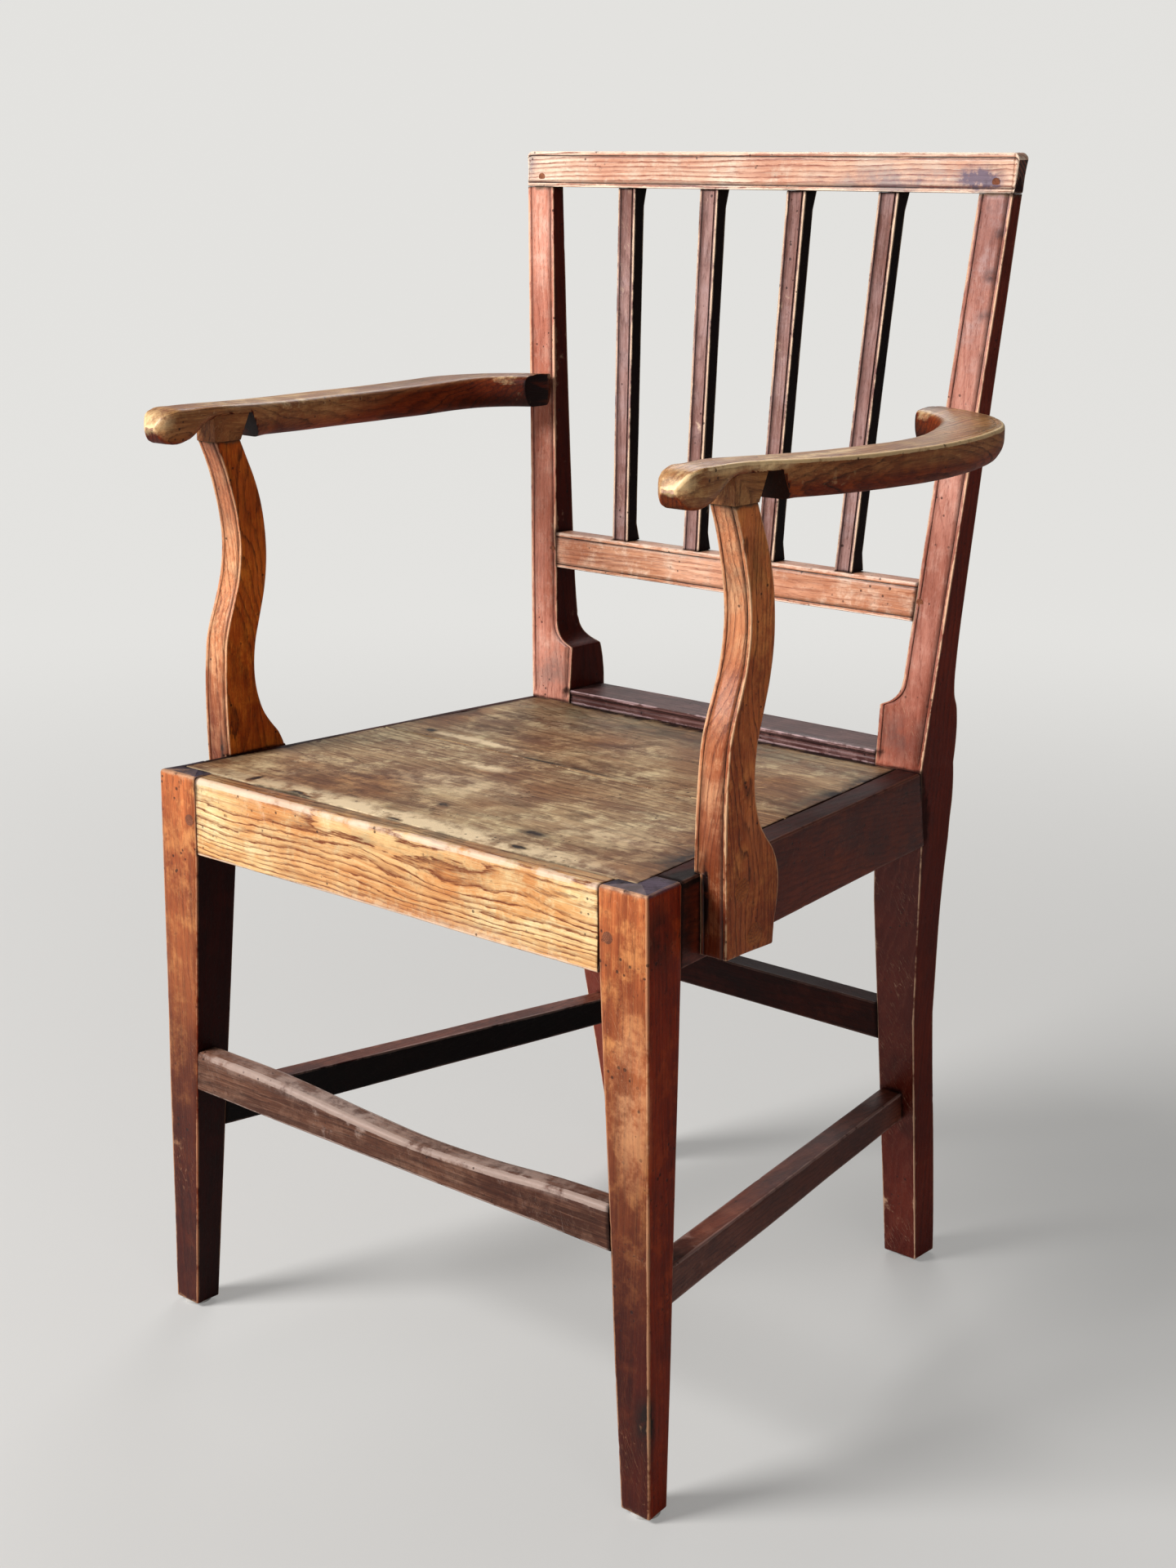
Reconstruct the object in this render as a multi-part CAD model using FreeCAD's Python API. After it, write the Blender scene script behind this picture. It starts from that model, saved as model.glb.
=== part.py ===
import FreeCAD, Part
import math
import os

# A joined armchair: two front legs, two raked back posts, a boarded seat, bowed arms, four stretchers.
# Millimetres. x runs to the sitter's left, y to the back, z up from the floor.
# Places are given as x, depth behind the front legs' front faces, and height above the feet.

# Overall
glide_thickness = 3.0
post_height = 900.0
leg_height = 443.6
seat_depth = 377.0
seat_front_width = 484.4
seat_back_width = 400.0
crest_width = 475.4

# Fits
joint_clearance = 0.15
peg_clearance = 0.1
board_clearance = 0.3
overrun = 5.0

# Front legs
leg_width = 42.0
leg_depth = 41.0
foot_splay = 7.4
front_foot_width = 26.3
front_foot_depth = 22.7

# Back posts
back_rake = 36.7
rear_kick = 73.2
post_face_width = 29.0
post_depth = 47.0
ear_width = 42.5
ear_height = 46.8
ear_curve_height = 27.6
rear_feet_width = 334.0
rear_foot_width = 31.3
rear_knee_width = 43.0
# Height shares run from the feet to the seat and from the seat to the crest, thickness shares are of post_depth.
leg_thickness_shares = ((0.0, 0.602), (0.05, 0.617), (0.23, 0.638), (0.41, 0.622), (0.58, 0.643),
                        (0.74, 0.696), (0.82, 0.770), (0.895, 0.870), (0.933, 0.950))
back_thickness_shares = ((0.016, 0.980), (0.084, 0.880), (0.106, 0.810), (0.128, 0.690), (0.150, 0.625),
                         (0.194, 0.566), (0.249, 0.523), (0.314, 0.494), (0.468, 0.438), (0.663, 0.372),
                         (0.850, 0.325), (0.937, 0.300), (1.0, 0.287))
# Outer edge below the seat: height shares of leg_height, spread shares from the feet to the seat.
rear_edge_shares = ((0.0, 0.0), (0.512, 0.38), (0.8625, 0.91), (1.0, 1.0))
rear_knee_share = 0.737
# The curve from the shaft down to the ear: shares of its height and of the step inwards.
ear_curve_shares = ((1.0, 0.0), (0.75, 0.04), (0.48, 0.13), (0.28, 0.32), (0.10, 0.66), (0.0, 1.0))

# Seat rails
rail_height = 61.0
front_rail_thickness = 30.0
side_rail_thickness = 32.0
back_rail_rise = 10.9
back_rail_bead = 3.0
back_rail_quirk = 1.5
back_rail_setback = 43.0
tenon_thickness = 9.0
tenon_setback = 8.5
tenon_bottom = 5.0
tenon_top = 18.0
tenon_root = 30.0
front_tenon_length = 27.0
side_tenon_front_length = 20.0
side_tenon_back_length = 28.0
back_tenon_length = 17.0

# Seat boards
board_thickness = 12.0
board_front_margin = 18.0
board_left_margin = 22.0
board_right_margin = 7.0
board_seam_depth = 208.0

# Back: crest, lower rail and sticks
crest_height = 29.0
crest_thickness = 17.5
crest_end_thickness = 13.5
crest_end_taper = 55.0
crest_tenon_width = 18.0
crest_tenon_thickness = 7.0
crest_tenon_height = 20.0
mid_rail_lift = 112.9
mid_rail_height = 30.0
mid_rail_thickness = 18.0
mid_tenon_length = 16.0
mid_tenon_thickness = 7.0
mid_tenon_height = 20.0
stick_count = 4
stick_pitch_share = 0.206
stick_width_top = 18.5
stick_width_bottom = 17.0
stick_setback = 1.5
stick_depth = 12.5
stick_top_depth = 15.5
stick_bottom_depth = 16.5
stick_flare = 14.0
stick_tenon_width = 11.0
stick_tenon_thickness = 6.0
stick_tenon_length = 11.0
flute_width = 10.5
flute_depth = 1.8

# Arm supports
support_lap = 56.1
support_rise = 242.9
support_front_depth = 62.5
support_foot_depth = 52.5
support_stand_out = 25.2
support_seat_inset = 1.8
support_width = 21.0
# Height shares of the support, depth shares of its foot.
support_front_shares = ((0.446, 0.0), (0.48, 0.02), (0.53, 0.095), (0.584, 0.21), (0.637, 0.31), (0.694, 0.37),
                        (0.744, 0.385), (0.795, 0.36), (0.87, 0.27), (0.95, 0.13), (1.0, 0.01))
support_rear_shares = ((1.0, 0.486), (0.96, 0.58), (0.898, 0.725), (0.83, 0.83), (0.77, 0.875), (0.68, 0.875),
                       (0.61, 0.81), (0.543, 0.70), (0.477, 0.59), (0.42, 0.545), (0.37, 0.55), (0.32, 0.61),
                       (0.283, 0.695), (0.25, 0.83), (0.225, 0.95), (0.209, 1.0))
support_tenon_width = 10.0
support_tenon_depth = 14.0
support_tenon_height = 12.0

# Arms
arm_nose_depth = 9.0
arm_nose_width = 31.0
arm_width = 40.0
arm_thickness = 27.0
arm_seating = 1.0
arm_rise = 7.5
arm_nose_rise = 3.0
arm_bow = 23.0
arm_end_setback = 18.0
arm_end_overrun = 3.0
collar_rear_slant = 10.0
collar_height = 20.5
collar_recess = 14.0
arm_bow_share = 0.652
# Along the arm: depth, spread, width and rise shares, nose to bow and bow to post.
arm_front_path_shares = ((0.328, 0.09, 0.825, 0.30), (0.461, 0.35, 0.91, 0.15), (0.627, 0.65, 0.975, 0.03),
                         (0.813, 0.89, 1.0, 0.0), (1.0, 1.0, 1.0, 0.0))
arm_back_path_shares = ((0.215, 0.012, 1.025, 0.08), (0.408, 0.062, 1.12, 0.22), (0.638, 0.161, 1.20, 0.50),
                        (0.815, 0.373, 1.075, 0.74), (0.923, 0.658, 0.95, 0.90), (1.0, 1.0, 0.85, 1.0))
# Sections: place, half width, half underside, underside, side foot, arris, crown.
nose_section_shares = ((0.0, 0.20, 0.18, 0.38, 0.42, 0.50, 0.52), (0.09, 0.37, 0.30, 0.10, 0.30, 0.78, 0.82),
                       (0.25, 0.47, 0.36, -0.02, 0.26, 0.93, 0.975), (0.55, 0.50, 0.34, 0.05, 0.34, 0.96, 1.0),
                       (1.0, 0.50, 0.22, 0.52, 0.72, 0.96, 1.0))
arm_section_shares = (0.50, 0.35, 0.0, 0.40, 0.965, 1.0)

# Stretchers
front_stretcher_bottom = 188.0
front_stretcher_height = 33.0
front_stretcher_wear = 9.0
back_stretcher_bottom = 202.0
back_stretcher_height = 33.0
stretcher_thickness = 20.0
stretcher_inset = 11.0
stretcher_tenon_length = 15.0
stretcher_tenon_thickness = 8.0
stretcher_tenon_shoulder = 4.0
left_stretcher_front = 140.0
left_stretcher_back = 134.0
right_stretcher_lift = 9.0
side_stretcher_front_height = 29.0
side_stretcher_back_height = 24.0
wear_shares = ((0.0, 0.0), (0.2, 0.1), (0.42, 0.75), (0.55, 1.0), (0.7, 0.8), (0.88, 0.15), (1.0, 0.0))

# Pegs, plugs, screws, nails and glides
peg_diameter = 9.0
peg_length = 24.0
front_peg_inset = 8.5
front_peg_drop = 34.6
crest_peg_inset = 17.7
crest_peg_drop = 21.0
crest_peg_diameter = 6.5
mid_peg_inset = 4.2
mid_peg_diameter = 6.5
plug_diameter = 16.0
plug_thickness = 7.0
screw_head_diameter = 9.0
screw_head_height = 2.5
screw_diameter = 4.4
screw_length = 34.0
support_screw_setbacks = (16.5, 31.5)
left_screw_drops = (10.6, 44.6)
right_screw_drops = (23.6, 46.6)
arm_screw_length = 32.0
arm_plug_diameter = 11.0
arm_plug_thickness = 4.0
cleat_width = 18.0
cleat_end_gap = 27.5
cleat_screw_inset = 25.0
cleat_screw_length = 34.0
nail_diameter = 2.4
nail_head_diameter = 5.6
nail_head_height = 1.2
nail_length = 28.0
front_nail_inset = 5.5
front_nail_shares = (-0.8, -0.275, 0.25, 0.775)
side_nail_inset = 4.5
side_nail_shares = (0.371, 0.504, 0.623, 0.902)
glide_diameter = 21.0
glide_pin_diameter = 3.0
glide_pin_length = 14.0

overall_depth = seat_depth + rear_kick + post_depth * leg_thickness_shares[0][1]
back_limit = seat_depth + back_rake + post_depth
rail_bottom = leg_height - rail_height
crest_bottom = post_height - crest_height
mid_rail_bottom = leg_height + mid_rail_lift
mid_rail_top = mid_rail_bottom + mid_rail_height
ear_inner = seat_back_width / 2 - ear_width
support_bottom = leg_height - support_lap
support_top = leg_height + support_rise
arm_underside = support_top - arm_seating
arm_screw_height = arm_underside + arm_rise + arm_thickness / 2

up = FreeCAD.Vector(0, 0, 1)
back = FreeCAD.Vector(0, 1, 0)
sideways = FreeCAD.Vector(1, 0, 0)


def point(x, depth, height):
    return FreeCAD.Vector(x, depth - overall_depth / 2, glide_thickness + height)


def between(low, high, share):
    return low + (high - low) * share


def along(table, place):
    """Straight-line value of a table of (place, value) pairs."""
    for (low, low_value), (high, high_value) in zip(table, table[1:]):
        if place <= high:
            return between(low_value, high_value, (place - low) / (high - low))
    return table[-1][1]


def block(x_low, x_high, depth_low, depth_high, height_low, height_high):
    corner = point(x_low, depth_low, height_low)
    return Part.makeBox(x_high - x_low, depth_high - depth_low, height_high - height_low, corner)


def wire_of(runs):
    """A closed wire: a run of two points is straight, a longer one is a smooth curve."""
    edges = []
    for run in runs:
        if len(run) == 2:
            edges.append(Part.LineSegment(run[0], run[1]).toShape())
        else:
            curve = Part.BSplineCurve()
            curve.interpolate(run)
            edges.append(curve.toShape())
    return Part.Wire(edges)


def straight_runs(points):
    return [[a, b] for a, b in zip(points, points[1:] + points[:1])]


def side_view(outline, x_low, x_high):
    """A solid from (depth, height) points, pulled along x."""
    points = [point(x_low, depth, height) for depth, height in outline]
    return Part.Face(wire_of(straight_runs(points))).extrude(sideways * (x_high - x_low))


def front_view(outline, depth_low, depth_high):
    """A solid from (x, height) points, pulled along the depth."""
    points = [point(x, depth_low, height) for x, height in outline]
    return Part.Face(wire_of(straight_runs(points))).extrude(back * (depth_high - depth_low))


def plan_view(outline, height_low, height_high):
    """A solid from (x, depth) points, pulled upwards."""
    points = [point(x, depth, height_low) for x, depth in outline]
    return Part.Face(wire_of(straight_runs(points))).extrude(up * (height_high - height_low))


def rod(centre, direction, length, diameter):
    return Part.makeCylinder(diameter / 2, length, centre, direction)


def mirrored(shape):
    return shape.mirror(FreeCAD.Vector(0, 0, 0), sideways)


def join(shape, *others):
    for other in others:
        shape = shape.fuse(other)
    return shape.removeSplitter()


def largest(shape):
    return max(shape.Solids, key=lambda solid: solid.Volume)


# Lines that the pieces share

def side_face(depth):
    """x of the seat frame's outer face."""
    return between(seat_front_width / 2, seat_back_width / 2, depth / seat_depth)


def leg_outer(height):
    return seat_front_width / 2 + foot_splay * (1 - height / leg_height)


def post_front(height):
    """Depth of the posts' front faces."""
    if height < leg_height:
        return seat_depth + rear_kick * (1 - height / leg_height)
    return seat_depth + back_rake * (height - leg_height) / (post_height - leg_height)


def post_outer(height):
    """x of the posts' outer faces."""
    seat = seat_back_width / 2
    if height > leg_height:
        return between(seat, crest_width / 2, (height - leg_height) / (post_height - leg_height))
    return between(rear_feet_width / 2, seat, along(rear_edge_shares, height / leg_height))


def post_inner(height):
    """x of the shafts' inner faces above the ear."""
    return post_outer(height) - post_face_width


support_line = side_face(support_front_depth + support_foot_depth / 2)
support_outer = support_line + support_stand_out
support_seat_inner = support_line - support_seat_inset
support_top_inner = support_outer - support_width
arm_nose_x = support_outer - support_width / 2


# Front legs

def leg_section(height, width, depth):
    outer = leg_outer(height)
    rear_outer = outer - (side_face(0) - side_face(depth))
    corners = [point(outer - width, 0, height), point(outer, 0, height),
               point(rear_outer, depth, height), point(outer - width, depth, height)]
    return wire_of(straight_runs(corners))


def front_leg_blank():
    foot = leg_section(0, front_foot_width, front_foot_depth)
    rail_foot = leg_section(rail_bottom, leg_width, leg_depth)
    top = leg_section(leg_height, leg_width, leg_depth)
    lower = Part.makeLoft([foot, rail_foot], True, True)
    upper = Part.makeLoft([rail_foot, top], True, True)
    return join(lower, upper)


# Back posts

def post_side_outline():
    """Runs of the post seen from the side: straight in front, one smooth curve behind."""
    heights = [leg_height * share for share, thickness in leg_thickness_shares]
    thicknesses = [post_depth * thickness for share, thickness in leg_thickness_shares]
    back_height = crest_bottom - leg_height
    for share, thickness in back_thickness_shares:
        heights.append(leg_height + back_height * share)
        thicknesses.append(post_depth * thickness)
    rear = [(post_front(height) + thickness, height) for height, thickness in zip(heights, thicknesses)]
    front = [(post_front(height), height) for height in (crest_bottom, leg_height, 0)]
    return front, rear


def post_blank():
    front, rear = post_side_outline()
    front = [point(0, depth, height) for depth, height in front]
    rear = [point(0, depth, height) for depth, height in rear]
    profile = Part.Face(wire_of([[rear[-1], front[0]], front[0:2], front[1:3], [front[2], rear[0]], rear]))
    slab = profile.extrude(sideways * crest_width)
    outer = [(post_outer(leg_height * share), leg_height * share) for share, spread in rear_edge_shares]
    outer.append((post_outer(crest_bottom), crest_bottom))
    curve_foot = leg_height + ear_height
    curve_top = curve_foot + ear_curve_height
    curve = []
    for rise, step in ear_curve_shares:
        height = curve_foot + ear_curve_height * rise
        curve.append((between(post_inner(curve_top), ear_inner, step), height))
    knee = leg_height * rear_knee_share
    inner = [(ear_inner, leg_height), (post_outer(knee) - rear_knee_width, knee),
             (rear_feet_width / 2 - rear_foot_width, 0)]
    outer_points = [point(x, 0, height) for x, height in outer]
    top_inner = point(post_inner(crest_bottom), 0, crest_bottom)
    curve_points = [point(x, 0, height) for x, height in curve]
    inner_points = [point(x, 0, height) for x, height in inner]
    chain = [outer_points[-1], top_inner, curve_points[0]]
    runs = [[a, b] for a, b in zip(chain, chain[1:])]
    runs.append(curve_points)
    chain = [curve_points[-1]] + inner_points + outer_points
    runs += [[a, b] for a, b in zip(chain, chain[1:])]
    face = Part.Face(wire_of(runs))
    return largest(slab.common(face.extrude(back * (overall_depth + back_limit))))


# Seat rails

def front_rail_blank():
    reach = seat_front_width / 2 - leg_width + overrun
    return block(-reach, reach, 0, front_rail_thickness, rail_bottom, leg_height)


def strip(line, set_in, width, depth_low, depth_high, height_low, height_high, grow=0.0):
    """A straight bar beside a line in plan, set in from it and grown by a clearance."""
    near = depth_low - grow
    far = depth_high + grow
    edge = set_in - grow
    inner = set_in + width + grow
    outline = [(line(near) - edge, near), (line(far) - edge, far), (line(far) - inner, far),
               (line(near) - inner, near)]
    return plan_view(outline, height_low - grow, height_high + grow)


def side_rail_blank():
    front = leg_depth - overrun
    rear = post_front(rail_bottom) + overrun
    return strip(side_face, 0, side_rail_thickness, front, rear, rail_bottom, leg_height)


def side_rail_tenons(grow=0.0):
    low = rail_bottom + tenon_bottom
    high = leg_height - tenon_top
    front = strip(side_face, tenon_setback, tenon_thickness, leg_depth - side_tenon_front_length,
                  leg_depth + overrun, low, high, grow)
    rear = strip(side_face, tenon_setback, tenon_thickness, seat_depth - overrun,
                 seat_depth + side_tenon_back_length, low, high, grow)
    return front, rear


def front_rail_tenon(grow=0.0):
    root = seat_front_width / 2 - leg_width
    return block(root - overrun, root + front_tenon_length + grow, tenon_setback - grow,
                 tenon_setback + tenon_thickness + grow, rail_bottom + tenon_bottom - grow,
                 leg_height - tenon_top + grow)


def back_rail_blank():
    top = leg_height + back_rail_rise
    reach = ear_inner + overrun
    rear = seat_depth + back_rail_setback
    face = seat_depth + back_rail_quirk
    bead_foot = top - back_rail_bead
    quirk_foot = bead_foot - back_rail_quirk
    low_bead = leg_height + back_rail_bead
    outline = [(rear, rail_bottom), (rear, top), (face, top), (seat_depth, top - back_rail_quirk),
               (seat_depth, bead_foot), (face + back_rail_quirk, quirk_foot), (face, low_bead),
               (face, rail_bottom)]
    blank = side_view(outline, -reach, reach)
    return blank.common(post_front_space(reach))


def post_front_space(reach):
    """The room behind the posts' front faces below the seat, and anywhere above it."""
    outline = [(post_front(0), 0), (back_limit, 0), (back_limit, post_height),
               (seat_depth - overrun, post_height), (seat_depth - overrun, leg_height), (seat_depth, leg_height)]
    return side_view(outline, -reach, reach)


def back_rail_tenon(grow=0.0):
    front = post_front(rail_bottom) + tenon_setback
    return block(ear_inner - tenon_root, ear_inner + back_tenon_length + grow, front - grow,
                 front + tenon_thickness + grow, rail_bottom + tenon_bottom - grow,
                 leg_height - tenon_top + grow)


# Seat boards

def board_outline(depth_low, depth_high, grow=0.0):
    left = board_left_margin - grow
    right = board_right_margin - grow
    return [(side_face(depth_low) - left, depth_low), (side_face(depth_high) - left, depth_high),
            (right - side_face(depth_high), depth_high), (right - side_face(depth_low), depth_low)]


def seat_board(depth_low, depth_high):
    return plan_view(board_outline(depth_low, depth_high), leg_height - board_thickness, leg_height)


def board_room():
    """What the rebates take out of the rails and legs."""
    outline = board_outline(board_front_margin - board_clearance, seat_depth, board_clearance)
    return plan_view(outline, leg_height - board_thickness, leg_height + overrun)


# Back

def back_slab(thickness, height_low, height_high, setback=0.0):
    """A slab behind the posts' front faces, as raked as they are."""
    low = post_front(height_low) + setback
    high = post_front(height_high) + setback
    outline = [(low, height_low), (high, height_high), (high + thickness, height_high),
               (low + thickness, height_low)]
    return side_view(outline, -crest_width, crest_width)


def crest_blank():
    """A raked bar whose back draws in at both ends."""
    front = post_front(crest_bottom)
    half = crest_width / 2
    plan = [(-half, front), (half, front), (half, front + crest_end_thickness),
            (half - crest_end_taper, front + crest_thickness), (crest_end_taper - half, front + crest_thickness),
            (-half, front + crest_end_thickness)]
    points = [point(x, depth, crest_bottom) for x, depth in plan]
    lean = post_front(post_height) - front
    bar = Part.Face(wire_of(straight_runs(points))).extrude(FreeCAD.Vector(0, lean, crest_height))
    outline = [(post_outer(crest_bottom), crest_bottom), (post_outer(post_height), post_height),
               (-post_outer(post_height), post_height), (-post_outer(crest_bottom), crest_bottom)]
    return bar.common(front_view(outline, seat_depth, back_limit))


def crest_tenon(grow=0.0):
    centre = post_outer(crest_bottom) - post_face_width / 2
    half = crest_tenon_width / 2 + grow
    setback = (crest_end_thickness - crest_tenon_thickness) / 2 - grow
    slab = back_slab(crest_tenon_thickness + 2 * grow, crest_bottom - overrun,
                     crest_bottom + crest_tenon_height + grow, setback)
    sides = block(centre - half, centre + half, seat_depth, back_limit, 0, post_height)
    return slab.common(sides)


def mid_rail_blank():
    outline = [(post_inner(mid_rail_bottom) + overrun, mid_rail_bottom),
               (post_inner(mid_rail_top) + overrun, mid_rail_top),
               (-post_inner(mid_rail_top) - overrun, mid_rail_top),
               (-post_inner(mid_rail_bottom) - overrun, mid_rail_bottom)]
    shape = front_view(outline, seat_depth, back_limit)
    return shape.common(back_slab(mid_rail_thickness, mid_rail_bottom, mid_rail_top))


def mid_rail_tenon(grow=0.0):
    edge = (mid_rail_height - mid_tenon_height) / 2 - grow
    low = mid_rail_bottom + edge
    high = mid_rail_top - edge
    setback = (mid_rail_thickness - mid_tenon_thickness) / 2 - grow
    slab = back_slab(mid_tenon_thickness + 2 * grow, low, high, setback)
    reach = post_inner(mid_rail_bottom)
    return slab.common(block(reach - overrun, reach + mid_tenon_length + grow, 0, back_limit, low, high))


def stick_centre(number, height):
    place = number - (stick_count - 1) / 2
    return place * 2 * post_inner(height) * stick_pitch_share


def stick_tenons(number, grow=0.0):
    tenons = []
    half = stick_tenon_width / 2 + grow
    setback = stick_setback + (stick_depth - stick_tenon_thickness) / 2 - grow
    spans = ((mid_rail_top - stick_tenon_length - grow, mid_rail_top + overrun),
             (crest_bottom - overrun, crest_bottom + stick_tenon_length + grow))
    for seat, (low, high) in zip((mid_rail_top, crest_bottom), spans):
        slab = back_slab(stick_tenon_thickness + 2 * grow, low, high, setback)
        centre = stick_centre(number, seat)
        tenons.append(slab.common(block(centre - half, centre + half, 0, back_limit, low, high)))
    return tenons


def back_stick(number):
    low = stick_centre(number, mid_rail_top)
    high = stick_centre(number, crest_bottom)
    outline = [(low - stick_width_bottom / 2, mid_rail_top), (low + stick_width_bottom / 2, mid_rail_top),
               (high + stick_width_top / 2, crest_bottom), (high - stick_width_top / 2, crest_bottom)]
    sides = front_view(outline, seat_depth, back_limit)
    rear = [(mid_rail_top, stick_bottom_depth), (mid_rail_top + stick_flare, stick_depth),
            (crest_bottom - stick_flare, stick_depth), (crest_bottom, stick_top_depth)]
    front = [(crest_bottom, 0), (mid_rail_top, 0)]
    profile = [(post_front(height) + stick_setback + depth, height) for height, depth in rear + front]
    stick = sides.common(side_view(profile, -crest_width, crest_width))
    stick = join(stick, *stick_tenons(number))
    radius = (flute_width * flute_width / 4 + flute_depth * flute_depth) / (2 * flute_depth)
    in_front = stick_setback + flute_depth - radius
    start = point(low, post_front(mid_rail_top) + in_front, mid_rail_top)
    end = point(high, post_front(crest_bottom) + in_front, crest_bottom)
    return stick.cut(Part.makeCylinder(radius, (end - start).Length, start, end - start))


# Arm supports

def support_blank():
    height = support_top - support_bottom
    front = [(support_front_depth + support_foot_depth * share, support_bottom + height * rise)
             for rise, share in support_front_shares]
    rear = [(support_front_depth + support_foot_depth * share, support_bottom + height * rise)
            for rise, share in support_rear_shares]
    inner = support_seat_inner - overrun
    front = [point(inner, depth, level) for depth, level in front]
    rear = [point(inner, depth, level) for depth, level in rear]
    rear_foot = point(inner, support_front_depth + support_foot_depth, support_bottom)
    front_foot = point(inner, support_front_depth, support_bottom)
    runs = [front, [front[-1], rear[0]], rear, [rear[-1], rear_foot], [rear_foot, front_foot],
            [front_foot, front[0]]]
    shape = Part.Face(wire_of(runs)).extrude(sideways * (support_outer - inner))
    above = [(inner - overrun, leg_height), (support_seat_inner, leg_height), (support_top_inner, support_top),
             (support_top_inner, support_top + overrun), (inner - overrun, support_top + overrun)]
    shape = shape.cut(front_view(above, 0, seat_depth))
    rail = strip(side_face, 0, side_rail_thickness, 0, seat_depth, support_bottom - overrun, leg_height)
    return largest(shape.cut(rail))


def support_tenon(grow=0.0):
    centre = (support_top_inner + support_outer) / 2
    middle = (support_front_depth + collar_rear()) / 2
    width = support_tenon_width / 2 + grow
    depth = support_tenon_depth / 2 + grow
    return block(centre - width, centre + width, middle - depth, middle + depth,
                 support_top - overrun, support_top + support_tenon_height + grow)


# Arms

def arm_path():
    """Plan points with a width and a rise, along the arm's middle line from the collar to the post."""
    end_x = post_inner(arm_screw_height) - arm_end_overrun
    end_depth = post_front(arm_screw_height) - arm_end_setback
    bow_depth = between(arm_nose_depth, end_depth, arm_bow_share)
    bow_x = arm_nose_x + arm_bow
    points = []
    for share, spread, width, rise in arm_front_path_shares:
        place = (between(arm_nose_x, bow_x, spread), between(arm_nose_depth, bow_depth, share))
        points.append(place + (arm_width * width, arm_rise * rise))
    for share, spread, width, rise in arm_back_path_shares:
        place = (between(bow_x, end_x, spread), between(bow_depth, end_depth, share))
        points.append(place + (arm_width * width, arm_rise * rise))
    return points


def arm_section(x, depth, width, rise, across, shares):
    """A crowned top on two sides that draw in to a narrow underside."""
    half, foot, low, side, arris, crown = shares

    def place(offset, level):
        height = arm_underside + rise + arm_thickness * level
        return point(x + across[0] * width * offset, depth + across[1] * width * offset, height)

    corners = [place(-half, arris), place(-half, side), place(-foot, low),
               place(foot, low), place(half, side), place(half, arris)]
    edges = [Part.LineSegment(a, b).toShape() for a, b in zip(corners, corners[1:])]
    edges.append(Part.Arc(corners[-1], place(0, crown), corners[0]).toShape())
    return Part.Wire(edges)


def arm_blank():
    sections = []
    nose_length = support_front_depth - arm_nose_depth
    for row in nose_section_shares:
        depth = arm_nose_depth + nose_length * row[0]
        sections.append(arm_section(arm_nose_x, depth, arm_nose_width, arm_nose_rise, (1, 0), row[1:]))
    path = arm_path()
    for number, (x, depth, width, rise) in enumerate(path):
        before = path[max(number - 1, 0)]
        after = path[min(number + 1, len(path) - 1)]
        length = math.hypot(after[0] - before[0], after[1] - before[1])
        across = ((after[1] - before[1]) / length, (before[0] - after[0]) / length)
        sections.append(arm_section(x, depth, width, rise, across, arm_section_shares))
    return Part.makeLoft(sections, True, False)


def collar_rear():
    return support_front_depth + support_foot_depth * support_rear_shares[0][1]


def collar_blank():
    top = support_top + collar_height
    rear = collar_rear()
    outline = [(support_front_depth, support_top), (rear, support_top), (rear + collar_rear_slant, top),
               (support_front_depth, top)]
    return side_view(outline, support_top_inner, support_outer)


def collar_room():
    """The notch under the arm that the collar stands in, open behind it."""
    top = support_top + collar_height
    low = arm_underside - overrun
    rear = collar_rear() + collar_rear_slant
    outline = [(support_front_depth, low), (rear + collar_recess, low), (rear, top), (support_front_depth, top)]
    return side_view(outline, 0, arm_nose_x + arm_bow + arm_width)


def arm_shape():
    arm = join(arm_blank().cut(collar_room()), collar_blank())
    end_x = post_inner(arm_screw_height)
    low = arm_underside - arm_thickness
    high = arm_underside + 2 * arm_thickness
    behind = [(post_front(low), low), (post_front(high), high), (back_limit, high), (back_limit, low)]
    arm = arm.cut(side_view(behind, 0, arm_nose_x + arm_bow + arm_width))
    arm = arm.cut(block(0, end_x, seat_depth / 2, back_limit, low, high))
    return largest(arm.cut(support_tenon(joint_clearance)))


# Stretchers

def front_stretcher_blank():
    low = front_stretcher_bottom
    high = low + front_stretcher_height
    reach = leg_outer(low) - front_foot_width
    top = []
    for share, wear in wear_shares:
        top.append(point(between(-reach, reach, share), 0, high - front_stretcher_wear * wear))
    start = point(-reach, 0, low)
    end = point(reach, 0, low)
    face = Part.Face(wire_of([[start, end], [end, top[-1]], top[::-1], [top[0], start]]))
    return face.extrude(back * stretcher_thickness)


def front_stretcher_tenon(grow=0.0):
    low = front_stretcher_bottom + stretcher_tenon_shoulder
    high = front_stretcher_bottom + front_stretcher_height - stretcher_tenon_shoulder
    root = between(leg_outer(0) - front_foot_width, leg_outer(rail_bottom) - leg_width, low / rail_bottom)
    front = (stretcher_thickness - stretcher_tenon_thickness) / 2
    front = front - stretcher_tenon_shoulder / 2
    return block(root - overrun, root + stretcher_tenon_length + grow, front - grow,
                 front + stretcher_tenon_thickness + grow, low - grow, high + grow)


def back_stretcher_blank():
    low = back_stretcher_bottom
    high = low + back_stretcher_height
    slab = back_slab(stretcher_thickness, low, high)
    reach = post_outer(low) - rear_foot_width
    return slab.common(block(-reach, reach, 0, back_limit, low, high))


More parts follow.
